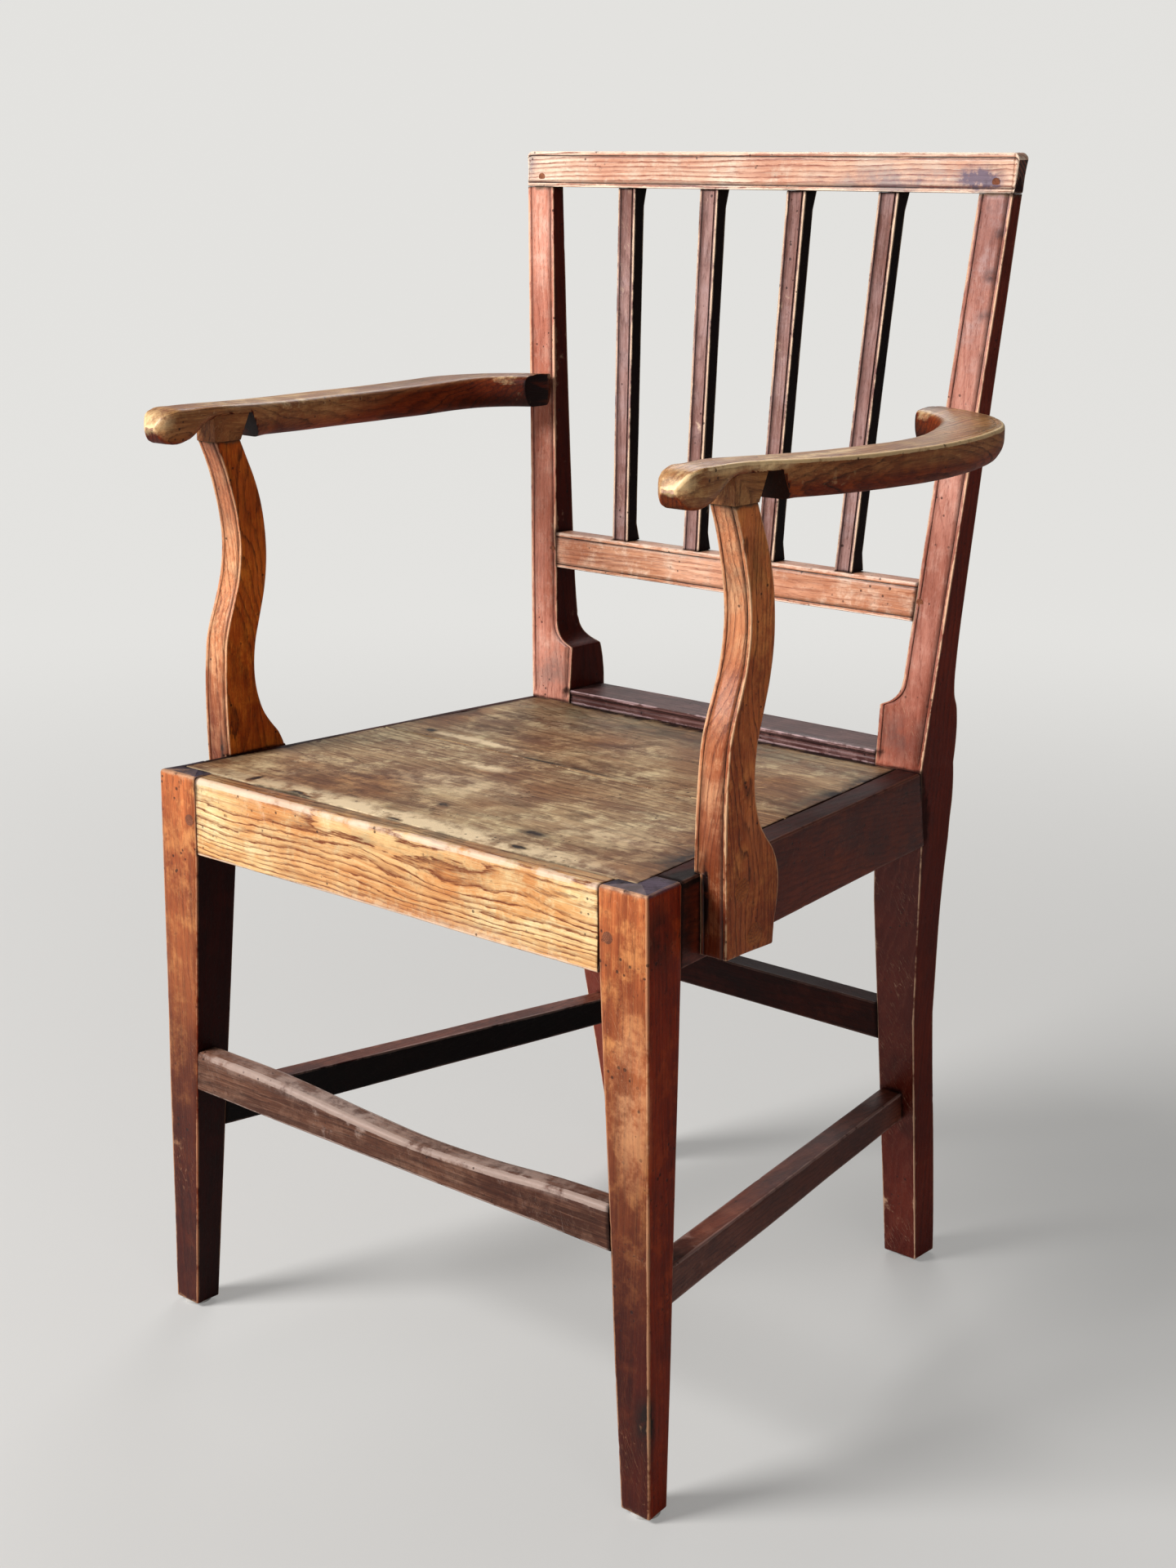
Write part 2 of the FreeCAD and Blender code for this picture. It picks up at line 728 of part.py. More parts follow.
def back_stretcher_tenon(grow=0.0):
    low = back_stretcher_bottom + stretcher_tenon_shoulder - grow
    high = back_stretcher_bottom + back_stretcher_height - stretcher_tenon_shoulder + grow
    root = post_outer(low) - rear_knee_width
    setback = (stretcher_thickness - stretcher_tenon_thickness) / 2 - grow
    slab = back_slab(stretcher_tenon_thickness + 2 * grow, low, high, setback)
    end = post_outer(low) - rear_foot_width + stretcher_tenon_length + grow
    return slab.common(block(root, end, 0, back_limit, low, high))


def stretcher_line(depth):
    """x of a side stretcher's outer face, from leg to leg."""
    level = (left_stretcher_front + left_stretcher_back) / 2
    front = leg_outer(level) - stretcher_inset
    rear = post_outer(level) - stretcher_inset
    return between(front, rear, (depth - front_foot_depth) / (post_front(level) - front_foot_depth))


def side_stretcher_blank(lift):
    front = front_foot_depth
    rear = post_front(left_stretcher_back) + overrun
    front_low = left_stretcher_front + lift
    back_low = left_stretcher_back + lift
    bar = strip(stretcher_line, 0, stretcher_thickness, front, rear, 0, leg_height)
    outline = [(front, front_low), (rear, back_low), (rear, back_low + side_stretcher_back_height),
               (front, front_low + side_stretcher_front_height)]
    return bar.common(side_view(outline, 0, seat_front_width))


def side_stretcher_tenons(lift, grow=0.0):
    inset = (stretcher_thickness - stretcher_tenon_thickness) / 2
    front_low = left_stretcher_front + lift + stretcher_tenon_shoulder
    front_high = left_stretcher_front + lift + side_stretcher_front_height - 2 * stretcher_tenon_shoulder
    back_low = left_stretcher_back + lift + stretcher_tenon_shoulder
    back_high = left_stretcher_back + lift + side_stretcher_back_height - stretcher_tenon_shoulder
    front_face = between(front_foot_depth, leg_depth, front_low / rail_bottom)
    rear_face = post_front(back_low)
    front = strip(stretcher_line, inset, stretcher_tenon_thickness, front_face - stretcher_tenon_length,
                  front_face + overrun, front_low, front_high, grow)
    rear = strip(stretcher_line, inset, stretcher_tenon_thickness, rear_face - overrun,
                 rear_face + stretcher_tenon_length, back_low, back_high, grow)
    return front, rear


# Pegs, screws, nails and glides

def front_peg(grow=0.0):
    centre = point(seat_front_width / 2 - leg_width + front_peg_inset, 0, leg_height - front_peg_drop)
    return rod(centre, back, peg_length + grow, peg_diameter + 2 * grow)


def crest_peg(grow=0.0):
    centre = point(crest_width / 2 - crest_peg_inset, seat_depth, post_height - crest_peg_drop)
    return rod(centre, back, back_limit - seat_depth, crest_peg_diameter + 2 * grow)


def mid_peg(grow=0.0):
    height = mid_rail_bottom + mid_rail_height / 2
    centre = point(post_inner(height) + mid_peg_inset, seat_depth - overrun, height)
    return rod(centre, back, back_limit - seat_depth, mid_peg_diameter + 2 * grow)


def screw(start, direction, length, grow=0.0):
    """A screw whose head begins at start and whose point lies length further on."""
    head = rod(start, direction, screw_head_height + grow, screw_head_diameter + 2 * grow)
    return join(head, rod(start, direction, length + grow, screw_diameter + 2 * grow))


def support_screw_set(drops, grow=0.0):
    """Screws and plugs of one support, at the outer face."""
    screws = []
    plugs = []
    for setback, drop in zip(support_screw_setbacks, drops):
        depth = support_front_depth + setback
        height = leg_height - drop
        face = point(support_outer, depth, height)
        plugs.append(rod(face, -sideways, plug_thickness, plug_diameter + 2 * grow))
        screws.append(screw(point(support_outer - plug_thickness, depth, height), -sideways, screw_length, grow))
    return screws, plugs


def arm_screw_set(post, grow=0.0):
    """The screw through the post and the plug behind its head."""
    x = post_inner(arm_screw_height) + post_face_width / 2
    share = (arm_screw_height - leg_height) / (crest_bottom - leg_height)
    rear = post_front(arm_screw_height) + post_depth * along(back_thickness_shares, share)
    head = rear - arm_plug_thickness
    head_point = point(x, head, arm_screw_height)
    plug = rod(head_point, back, arm_plug_thickness + overrun, arm_plug_diameter + 2 * grow)
    if not grow:
        plug = plug.common(post)
    return screw(head_point, -back, arm_screw_length, grow), plug


def cleat_half_length():
    return ear_inner - cleat_end_gap


def cleat_screws(grow=0.0):
    height = leg_height - board_thickness - cleat_width / 2
    start = seat_depth + back_rail_quirk - cleat_width
    reach = cleat_half_length() - cleat_screw_inset
    places = (-reach, 0, reach)
    return [screw(point(x, start, height), back, cleat_screw_length, grow) for x in places]


def nail_places():
    depth = board_front_margin + front_nail_inset
    reach = seat_front_width / 2 - leg_width
    places = [(reach * share, depth) for share in front_nail_shares]
    for share in side_nail_shares:
        depth = seat_depth * share
        places.append((side_face(depth) - board_left_margin - side_nail_inset, depth))
        places.append((board_right_margin + side_nail_inset - side_face(depth), depth))
    return places


def seat_nails(grow=0.0):
    nails = []
    for x, depth in nail_places():
        top = point(x, depth, leg_height)
        head = rod(top, -up, nail_head_height + grow, nail_head_diameter + 2 * grow)
        nails.append(join(head, rod(top, -up, nail_length + grow, nail_diameter + 2 * grow)))
    return nails


def foot_centres():
    rear_front = post_front(0)
    rear_middle = (rear_front + overall_depth) / 2
    return ((leg_outer(0) - front_foot_width / 2, front_foot_depth / 2),
            (rear_feet_width / 2 - rear_foot_width / 2, rear_middle))


def foot_glide(x, depth, grow=0.0):
    pad = rod(point(x, depth, -glide_thickness), up, glide_thickness, glide_diameter)
    pin = rod(point(x, depth, -glide_thickness), up,
              glide_thickness + glide_pin_length + grow, glide_pin_diameter + 2 * grow)
    return join(pad, pin)


# Assembly

def holes(shape, cutters):
    for cutter in cutters:
        shape = shape.cut(cutter)
    return largest(shape)


def both_sides(shapes):
    return list(shapes) + [mirrored(shape) for shape in shapes]


def build_parts():
    parts = {}
    leg = front_leg_blank()
    post = post_blank()
    boards = board_room()
    nail_holes = seat_nails(peg_clearance)
    pins = [foot_glide(x, depth, peg_clearance) for x, depth in foot_centres()]
    left_screws, left_plugs = support_screw_set(left_screw_drops)
    right_screws, right_plugs = support_screw_set(right_screw_drops)
    left_screw_holes, left_plug_holes = support_screw_set(left_screw_drops, peg_clearance)
    right_screw_holes, right_plug_holes = support_screw_set(right_screw_drops, peg_clearance)
    arm_screw, arm_plug = arm_screw_set(post)
    arm_screw_hole, arm_plug_hole = arm_screw_set(post, peg_clearance)

    # Front legs: mortised for three rails each, notched for the board, one peg hole
    leg_cuts = list(side_rail_tenons(joint_clearance))
    leg_cuts += [front_rail_tenon(joint_clearance), front_stretcher_tenon(joint_clearance)]
    leg_cuts += [front_peg(peg_clearance)] + pins
    left_cuts = leg_cuts + list(side_stretcher_tenons(0, joint_clearance))
    right_cuts = leg_cuts + list(side_stretcher_tenons(right_stretcher_lift, joint_clearance))
    parts["front_leg_left"] = holes(leg, left_cuts + [boards])
    parts["front_leg_right"] = mirrored(holes(leg, right_cuts + [mirrored(boards)]))

    # Back posts: tenoned into the crest, mortised for five rails each
    post_cuts = list(side_rail_tenons(joint_clearance))
    post_cuts += [back_rail_tenon(joint_clearance), back_stretcher_tenon(joint_clearance)]
    post_cuts += [mid_rail_tenon(joint_clearance), mid_peg(peg_clearance), crest_peg(peg_clearance)]
    post_cuts += [arm_screw_hole, arm_plug_hole] + pins
    tenoned_post = join(post, crest_tenon())
    left_cuts = post_cuts + list(side_stretcher_tenons(0, joint_clearance))
    right_cuts = post_cuts + list(side_stretcher_tenons(right_stretcher_lift, joint_clearance))
    parts["back_post_left"] = holes(tenoned_post, left_cuts)
    parts["back_post_right"] = mirrored(holes(tenoned_post, right_cuts))

    # Seat rails
    legs = both_sides([leg])
    posts = both_sides([post])
    rail = holes(front_rail_blank(), legs)
    rail = join(rail, *both_sides([front_rail_tenon()]))
    parts["front_seat_rail"] = holes(rail, both_sides([front_peg(peg_clearance)]) + [boards] + nail_holes)
    rail = holes(side_rail_blank(), [leg, post])
    rail = join(rail, *side_rail_tenons())
    parts["side_seat_rail_left"] = holes(rail, [boards] + nail_holes + left_screw_holes)
    opposite = [mirrored(boards)] + [mirrored(hole) for hole in nail_holes] + right_screw_holes
    parts["side_seat_rail_right"] = mirrored(holes(rail, opposite))
    rail = holes(back_rail_blank(), posts)
    rail = join(rail, *both_sides([back_rail_tenon()]))
    parts["back_seat_rail"] = holes(rail, cleat_screws(peg_clearance))

    # Seat boards, cleat and nails
    rear = seat_depth - board_clearance
    parts["seat_board_front"] = holes(seat_board(board_front_margin, board_seam_depth), nail_holes)
    parts["seat_board_back"] = holes(seat_board(board_seam_depth, rear), nail_holes)
    cleat_top = leg_height - board_thickness
    face = seat_depth + back_rail_quirk
    reach = cleat_half_length()
    cleat = block(-reach, reach, face - cleat_width, face,
                  cleat_top - cleat_width, cleat_top)
    parts["back_seat_cleat"] = holes(cleat, cleat_screws(peg_clearance))
    parts["cleat_screws"] = Part.makeCompound(cleat_screws())
    parts["seat_nails"] = Part.makeCompound(seat_nails())

    # Back
    crest_holes = both_sides([crest_tenon(joint_clearance), crest_peg(peg_clearance)])
    stick_mortises = [tenon for number in range(stick_count) for tenon in stick_tenons(number, joint_clearance)]
    crest = crest_blank()
    parts["crest_rail"] = holes(crest, crest_holes + stick_mortises)
    rail = holes(mid_rail_blank(), posts)
    rail = join(rail, *both_sides([mid_rail_tenon()]))
    parts["mid_rail"] = holes(rail, both_sides([mid_peg(peg_clearance)]) + stick_mortises)
    for number in range(stick_count):
        parts["back_stick_%d" % (number + 1)] = largest(back_stick(number))

    # Arms and their supports
    arm = holes(arm_shape(), [arm_screw_hole])
    support = join(support_blank(), support_tenon())
    parts["arm_left"] = arm
    parts["arm_right"] = mirrored(arm)
    parts["arm_support_left"] = holes(support, left_screw_holes + left_plug_holes)
    parts["arm_support_right"] = mirrored(holes(support, right_screw_holes + right_plug_holes))

    # Stretchers
    bar = holes(front_stretcher_blank(), legs)
    parts["front_stretcher"] = join(bar, *both_sides([front_stretcher_tenon()]))
    bar = holes(back_stretcher_blank(), posts)
    parts["back_stretcher"] = join(bar, *both_sides([back_stretcher_tenon()]))
    bar = holes(side_stretcher_blank(0), [leg, post])
    parts["side_stretcher_left"] = join(bar, *side_stretcher_tenons(0))
    bar = holes(side_stretcher_blank(right_stretcher_lift), [leg, post])
    parts["side_stretcher_right"] = mirrored(join(bar, *side_stretcher_tenons(right_stretcher_lift)))

    # Pegs, plugs, screws and glides, one node for each kind
    parts["front_rail_pegs"] = Part.makeCompound(both_sides([front_peg()]))
    parts["crest_pegs"] = Part.makeCompound(both_sides([crest_peg().common(crest)]))
    parts["mid_rail_pegs"] = Part.makeCompound(both_sides([mid_peg().common(post)]))
    screws = left_screws + [mirrored(shape) for shape in right_screws]
    plugs = left_plugs + [mirrored(shape) for shape in right_plugs]
    parts["support_screws"] = Part.makeCompound(screws)
    parts["support_plugs"] = Part.makeCompound(plugs)
    parts["arm_screws"] = Part.makeCompound(both_sides([arm_screw]))
    parts["arm_screw_plugs"] = Part.makeCompound(both_sides([arm_plug]))
    glides = [foot_glide(x, depth) for x, depth in foot_centres()]
    parts["foot_glides"] = Part.makeCompound(both_sides(glides))
    return parts


os.makedirs("parts", exist_ok=True)
for name, shape in build_parts().items():
    shape.exportStep("parts/" + name + ".step")
    print(name, len(shape.Solids), shape.isValid(), round(shape.Volume / 1000, 1))
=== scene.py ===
# A joined country armchair, dressed piece by piece around its packed construction model.
import math
import bpy
import numpy as np
from mathutils import Matrix, Vector
from mathutils.bvhtree import BVHTree
from mathutils.kdtree import KDTree


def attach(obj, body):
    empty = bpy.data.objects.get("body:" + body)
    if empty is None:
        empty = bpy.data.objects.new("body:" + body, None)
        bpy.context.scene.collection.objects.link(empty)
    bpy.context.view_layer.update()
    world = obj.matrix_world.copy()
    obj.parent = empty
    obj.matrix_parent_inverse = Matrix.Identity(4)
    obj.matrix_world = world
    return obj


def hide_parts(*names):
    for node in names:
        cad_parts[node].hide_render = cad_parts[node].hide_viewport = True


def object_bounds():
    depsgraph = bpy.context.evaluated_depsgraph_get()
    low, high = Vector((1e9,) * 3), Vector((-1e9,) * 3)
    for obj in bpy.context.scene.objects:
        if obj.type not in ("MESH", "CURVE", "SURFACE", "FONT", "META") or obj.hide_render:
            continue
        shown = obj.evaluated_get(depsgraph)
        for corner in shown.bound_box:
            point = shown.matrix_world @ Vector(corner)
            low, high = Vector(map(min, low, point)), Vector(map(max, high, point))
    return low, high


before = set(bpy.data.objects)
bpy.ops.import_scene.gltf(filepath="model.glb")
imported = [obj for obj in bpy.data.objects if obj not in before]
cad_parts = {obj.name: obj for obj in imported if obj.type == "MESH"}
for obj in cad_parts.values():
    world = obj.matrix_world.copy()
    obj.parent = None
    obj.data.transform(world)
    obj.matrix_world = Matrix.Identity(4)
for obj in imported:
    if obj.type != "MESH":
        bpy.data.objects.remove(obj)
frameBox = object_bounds()
print("frame loaded:", len(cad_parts), "nodes")

# Millimetres. A point is x (to the sitter's left), depth behind the front legs, height above the feet.
chair = {
    "seatHeight": 443.6, "height": 900.0, "glide": 3.0, "seatDepth": 377.0, "seatFront": 484.4,
    "seatBack": 400.0, "crestWidth": 475.4, "rake": 36.7, "kick": 73.2, "railHeight": 61.0, "crestHeight": 29.0,
    "midLift": 112.9, "midHeight": 30.0, "midThick": 18.0, "boardThick": 12.0, "boardMargins": (22.0, 7.0),
    "boardFront": 18.0,
}
railFoot = chair["seatHeight"] - chair["railHeight"]
crestFoot = chair["height"] - chair["crestHeight"]
midFoot = chair["seatHeight"] + chair["midLift"]
midTop = midFoot + chair["midHeight"]
halfDepth = 500 * (frameBox[1][1] - frameBox[0][1])
sides = {"left": 1, "right": -1}


def toMetres(points):
    place = np.array(points, float)
    place = place - np.array([0.0, halfDepth, -chair["glide"]])
    return place / 1000


def between(low, high, share):
    return low + (high - low) * share


def curveThrough(table, place):
    # A smooth line through (place, value) pairs
    knots = np.array([row[0] for row in table], float)
    values = np.array([row[1] for row in table], float)
    slopes = np.gradient(values, knots)
    place = np.clip(np.asarray(place, float), knots[0], knots[-1])
    left = np.clip(np.searchsorted(knots, place) - 1, 0, len(knots) - 2)
    width = knots[left + 1] - knots[left]
    t = (place - knots[left]) / width
    a = values[left] * (1 + 2 * t) * (1 - t) ** 2 + slopes[left] * width * t * (1 - t) ** 2
    b = values[left + 1] * t * t * (3 - 2 * t) - slopes[left + 1] * width * t * t * (1 - t)
    return a + b


def pointsOf(mesh):
    co = np.zeros(len(mesh.vertices) * 3)
    mesh.vertices.foreach_get("co", co)
    return co.reshape(-1, 3)


def writeLayer(mesh, name, values):
    # One value or one vector for every point of a mesh
    vector = values.ndim == 2
    attribute = mesh.attributes.new(name, "FLOAT_VECTOR" if vector else "FLOAT", "POINT")
    attribute.data.foreach_set("vector" if vector else "value",
                               np.ascontiguousarray(values, np.float32).ravel())


def volumeOf(points, faces):
    # Six times the volume of a closed shape, below zero when its faces point inwards
    volume = 0.0
    for face in faces:
        p = points[face]
        for i in range(1, len(face) - 1):
            volume += np.dot(p[0], np.cross(p[i], p[i + 1]))
    return volume


def lumps(points, size, seed):
    # Soft seeded noise from -1 to 1
    p = points / size + seed * 17.31
    cell = np.floor(p).astype(np.int64)
    f = p - cell
    f = f * f * (3 - 2 * f)
    total = np.zeros(p.shape[:-1])
    for corner in range(8):
        step = np.array([corner & 1, corner >> 1 & 1, corner >> 2 & 1])
        c = cell + step
        h = (c[..., 0] * 73856093) ^ (c[..., 1] * 19349663) ^ (c[..., 2] * 83492791)
        h = ((h ^ (h >> 13)) * 1274126177) & 0x7FFFFFFF
        value = ((h ^ (h >> 15)) & 0xFFFF) / 32767.5 - 1
        total += value * np.prod(np.where(step, f, 1 - f), axis=-1)
    return total


# Lines that several pieces share

def sideFace(depth):
    return between(chair["seatFront"] / 2, chair["seatBack"] / 2, depth / chair["seatDepth"])


def postFront(height):
    height = np.asarray(height, float)
    below = chair["seatDepth"] + chair["kick"] * (1 - height / chair["seatHeight"])
    rise = (height - chair["seatHeight"]) / (chair["height"] - chair["seatHeight"])
    return np.where(height < chair["seatHeight"], below, chair["seatDepth"] + chair["rake"] * rise)


def postOuter(height):
    top = chair["crestWidth"] / 2
    seat = chair["seatBack"] / 2
    rows = [(0.0, 167.0), (227.0, 179.5), (382.6, 197.0), (chair["seatHeight"], seat), (chair["height"], top)]
    return np.interp(height, [row[0] for row in rows], [row[1] for row in rows])


post = {
    "face": 29.0, "ear": 42.5, "earTop": 490.4, "earCurve": 27.6, "knee": 327.0, "kneeWidth": 43.0,
    "footWidth": 31.3,
    "thick": [(0, 28.3), (22, 29.0), (102, 30.0), (182, 29.2), (257, 30.2), (328, 32.7), (364, 36.2),
              (397, 40.9), (414, 44.6), (450.4, 46.1), (479.5, 41.4), (489, 38.1), (498.3, 32.4), (507.7, 29.4),
              (526.5, 26.6), (550, 24.6), (577.8, 23.2), (643.6, 20.6), (727, 17.5), (807, 15.3), (844, 14.1),
              (871, 13.5)],
    "curve": [(0.0, 1.0), (0.10, 0.66), (0.28, 0.32), (0.48, 0.13), (0.75, 0.04), (1.0, 0.0)],
}


def shaftInner(height):
    return postOuter(height) - post["face"]


def postInner(height):
    # The inner edge: taper, straight ear, hollow curve, shaft
    height = np.asarray(height, float)
    ear = chair["seatBack"] / 2 - post["ear"]
    foot = postOuter(0) - post["footWidth"]
    knee = postOuter(post["knee"]) - post["kneeWidth"]
    low = np.interp(height, [0, post["knee"], chair["seatHeight"]], [foot, knee, ear])
    top = shaftInner(post["earTop"] + post["earCurve"])
    step = curveThrough(post["curve"], (height - post["earTop"]) / post["earCurve"])
    curve = between(top, ear, step)
    shaft = shaftInner(height)
    edge = np.where(height > post["earTop"], curve, low)
    return np.where(height > post["earTop"] + post["earCurve"], shaft, edge)


leg = {"width": 42.0, "depth": 41.0, "footWidth": 26.3, "footDepth": 22.7, "splay": 7.4}


def legOuter(height):
    return chair["seatFront"] / 2 + leg["splay"] * (1 - height / chair["seatHeight"])


def legInner(height):
    return legOuter(height) - np.interp(height, [0, railFoot], [leg["footWidth"], leg["width"]])


def legDepth(height):
    return np.interp(height, [0, railFoot], [leg["footDepth"], leg["depth"]])


# Sections: what lies along one side of a ring, as (anchor, distance or share, how deep it is sunk)

def middleMarks(count, sunk=0.0, hollow=0.0):
    # Evenly across the middle of a side, sunk by as much, and hollowed in a curve
    shares = [(i + 1) / (count + 1) for i in range(count)]
    return [("middle", share, sunk + hollow * (1 - (2 * share - 1) ** 2)) for share in shares]


def plainSide(count):
    return [("start", 0.8, 0), ("end", 0.8, 0)] + middleMarks(count)


def beadMarks(anchor, bead, quirk, deep, bright=1.0):
    # A bead's crown is pale with wear and a painted highlight; the quirk beside it is dark
    marks = []
    for share, tone in ((0.12, 0.75), (0.3, 0.6), (0.5, 0.35), (0.7, 0.1), (0.88, 0.0)):
        marks.append((anchor, bead * share, deep * (1 - math.sqrt(max(0, 1 - (2 * share - 1) ** 2))),
                      tone * bright))
    return marks + [(anchor, bead, deep, -1), (anchor, bead + quirk / 2, deep * 1.25, -1),
                    (anchor, bead + quirk, 0, -0.4)]


edgeFade, endFade, dirtAndShadeFade = 1.1, 2.6, 0.0024


def ringsOf(corners, radii, sideMarks, sinkScale=None, shades=None, rubbed=None, arcSteps=4):
    # From corner lines to rings of points, with each point's edge, painted shade and scratched line
    m, k = corners.shape[:2]
    centre = corners.mean(1)
    ahead = np.roll(corners, -1, 1) - corners
    length = np.linalg.norm(ahead, axis=2)
    ahead = ahead / length[..., None]
    # shades: painted shade for each side; 0 is a lit face, 1 a shaded one, above 1 deeper still
    shades = shades or [0.0] * k
    rubbed = rubbed or [1.0] * k
    points = []
    edges = []
    shadeValues = []
    lines = []
    for i in range(k):
        corner = corners[:, i]
        before = ahead[:, i - 1]
        after = ahead[:, i]
        radius = np.minimum(radii[i], 0.45 * np.minimum(length[:, i], length[:, i - 1]))[:, None]
        for step in range(arcSteps + 1):
            t = step / arcSteps
            a = corner - before * radius
            b = corner + after * radius
            points.append(a * (1 - t) ** 2 + corner * 2 * t * (1 - t) + b * t * t)
            edges.append(np.full(m, rubbed[i]))
            shadeValues.append(between(shades[i - 1], shades[i], t) * np.ones(m))
            lines.append(np.zeros(m))
        inward = centre - (corner + after * length[:, i:i + 1] / 2)
        inward = inward - after * (inward * after).sum(1, keepdims=True)
        inward = inward / np.linalg.norm(inward, axis=1, keepdims=True)
        nextRadius = np.minimum(radii[(i + 1) % k], 0.45 * length[:, i])
        most = 0.3 * (length[:, i] - radius[:, 0] - nextRadius)
        starts, middles, ends = ([mark for mark in sideMarks[i] if mark[0] == kind]
                                 for kind in ("start", "middle", "end"))
        startReach = radius[:, 0] + np.minimum(most, max([mark[1] for mark in starts] + [0]))
        endReach = nextRadius + np.minimum(most, max([mark[1] for mark in ends] + [0]))
        scale = np.ones(m) if sinkScale is None else sinkScale
        middles.sort(key=lambda mark: mark[1])
        ends.sort(key=lambda mark: -mark[1])
        for kind, distance, sink, *tone in starts + middles + ends:
            if kind == "start":
                run = radius[:, 0] + np.minimum(most, distance)
            elif kind == "end":
                run = length[:, i] - nextRadius - np.minimum(most, distance)
            else:
                run = between(startReach, length[:, i] - endReach, distance)
            points.append(corner + after * run[:, None] + inward * (sink * scale)[:, None])
            tone = tone[0] * scale if tone else np.zeros(m)
            near = np.maximum(rubbed[i] * np.exp(-run / edgeFade),
                              rubbed[(i + 1) % k] * np.exp((run - length[:, i]) / edgeFade))
            edges.append(np.maximum(near, tone))
            shadeValues.append(shades[i] * np.ones(m))
            lines.append(np.maximum(-tone, 0))
    edges = np.stack(edges, 1)
    return np.stack(points, 1), edges, np.stack(shadeValues, 1), np.stack(lines, 1)


def stationsAlong(low, high, step, close=(), rounds=(0.25, 0.25)):
    # Places along a piece: even, closer where asked, and three for each rounded end
    places = list(np.linspace(low, high, max(3, int(abs(high - low) / step))))
    for start, end, gap in close:
        places += list(np.arange(start, end, gap))
    first, last = rounds
    places = [p for p in places if low + first < p < high - last]
    places += [low, low + 0.3 * first, low + first, high, high - 0.3 * last, high - last]
    places = np.unique(np.round(places, 3))
    inset = np.zeros(len(places))
    inset[:2] = first, 0.3 * first
    inset[-2:] = 0.3 * last, last
    return places, inset


def loftFaces(rings):
    # Walls between the rings and closed ends; also says which ring point each vertex came from
    m, n = rings.shape[:2]
    index = np.arange(m * n).reshape(m, n)
    a, b = index[:-1], index[1:]
    faces = np.stack([a, np.roll(a, -1, 1), np.roll(b, -1, 1), b], -1).reshape(-1, 4).tolist()
    points = [rings.reshape(-1, 3)]
    source = [index.ravel()]
    count = m * n
    for end in (0, m - 1):
        ring = rings[end]
        middle = ring.mean(0)
        outer = index[end]
        for share in (0.97, 0.8, 0.5, 0.25):
            inner = np.arange(count, count + n)
            points.append(middle + (ring - middle) * share)
            source.append(index[end])
            strip = [outer, inner, np.roll(inner, -1), np.roll(outer, -1)]
            if end:
                strip = strip[::-1]
            faces += np.stack(strip, -1).tolist()
            outer = inner
            count += n
        points.append(middle[None])
        source.append(index[end][:1])
        fan = [outer, np.full(n, count), np.roll(outer, -1)]
        if end:
            fan = fan[::-1]
        faces += np.stack(fan, -1).tolist()
        count += 1
    points = np.concatenate(points)
    source = np.concatenate(source)
    if volumeOf(points, faces) < 0:
        faces = [face[::-1] for face in faces]
    return points, faces, source


wearSizes = {"rub": 90, "chip": 5.0, "chipPatch": 40, "uneven": 130, "ripple": 16}


def wearDown(rings, edges, inset, wear, seed):
    # Only ever takes wood away: rubbed and chipped edges, and faces that a hand plane left a little uneven
    centre = rings.mean(1, keepdims=True)
    inward = centre - rings
    inward = inward / np.maximum(np.linalg.norm(inward, axis=2, keepdims=True), 1e-6)
    rub = np.clip(lumps(rings, wearSizes["rub"], seed) + 0.3, 0, 1) * wear["rub"] * 0.6
    chip = np.clip(lumps(rings, wearSizes["chip"], seed + 1) - 0.62, 0, 1) * wear["chip"] * 1.6
    chip = chip * np.clip(lumps(rings, wearSizes["chipPatch"], seed + 4) + 0.4, 0, 1)
    uneven = (lumps(rings, wearSizes["uneven"], seed + 2) + 1) / 2 * wear["uneven"]
    ripple = (lumps(rings, wearSizes["ripple"], seed + 3) + 1) / 2 * wear.get("ripple", 0.05)
    amount = edges ** 1.3 * (rub + chip) + uneven + ripple + inset[:, None]
    return rings + inward * amount[..., None]


def grainOf(points, lie, heart, tilt):
    # Places in the log: two across it from its heart, one along it
    order = {"x": (2, 1, 0), "y": (0, 2, 1), "z": (0, 1, 2)}[lie]
    across, through, along = (points[..., i] for i in order)
    return np.stack([across - heart[0] - tilt * along, through - heart[1], along], -1) / 1000


cadShapes = {}
for nodeName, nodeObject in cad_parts.items():
    mesh = nodeObject.data
    co = pointsOf(mesh)
    cadShapes[nodeName] = (co, [tuple(p.vertices) for p in mesh.polygons], co.min(0), co.max(0))


def dirtAndShadeNear(points, nodes, reach=0.016):
    # How close each point is to another piece, 1 where they touch: dirt and painted shade where pieces meet
    low, high = points.min(0) - reach, points.max(0) + reach
    verts = []
    polys = []
    for other, (co, faces, lowest, highest) in cadShapes.items():
        small = other.split("_")[-1] in ("pegs", "plugs", "nails", "screws", "glides")
        if small or other in nodes or (lowest > high).any() or (highest < low).any():
            continue
        start = len(verts)
        verts += co.tolist()
        polys += [tuple(i + start for i in face) for face in faces]
    if not polys:
        return np.zeros(len(points))
    tree = BVHTree.FromPolygons(verts, polys)
    near = [tree.find_nearest(Vector(p), reach)[3] for p in points.tolist()]
    near = np.array([reach if d is None else d for d in near])
    return np.exp(-near / dirtAndShadeFade) * (near < reach)


def stainAndLightSpots(millimetres, marks):
    # Soft painted spots: stains, painted shade and painted highlights, given by centre, half sizes, and how
    # dark; below zero they are pale
    total = np.zeros(len(millimetres))
    for centre, size, amount in marks:
        away = np.linalg.norm((millimetres - np.array(centre)) / np.array(size), axis=1)
        total = total + amount * np.clip(1.3 - away, 0, 1)
    return total


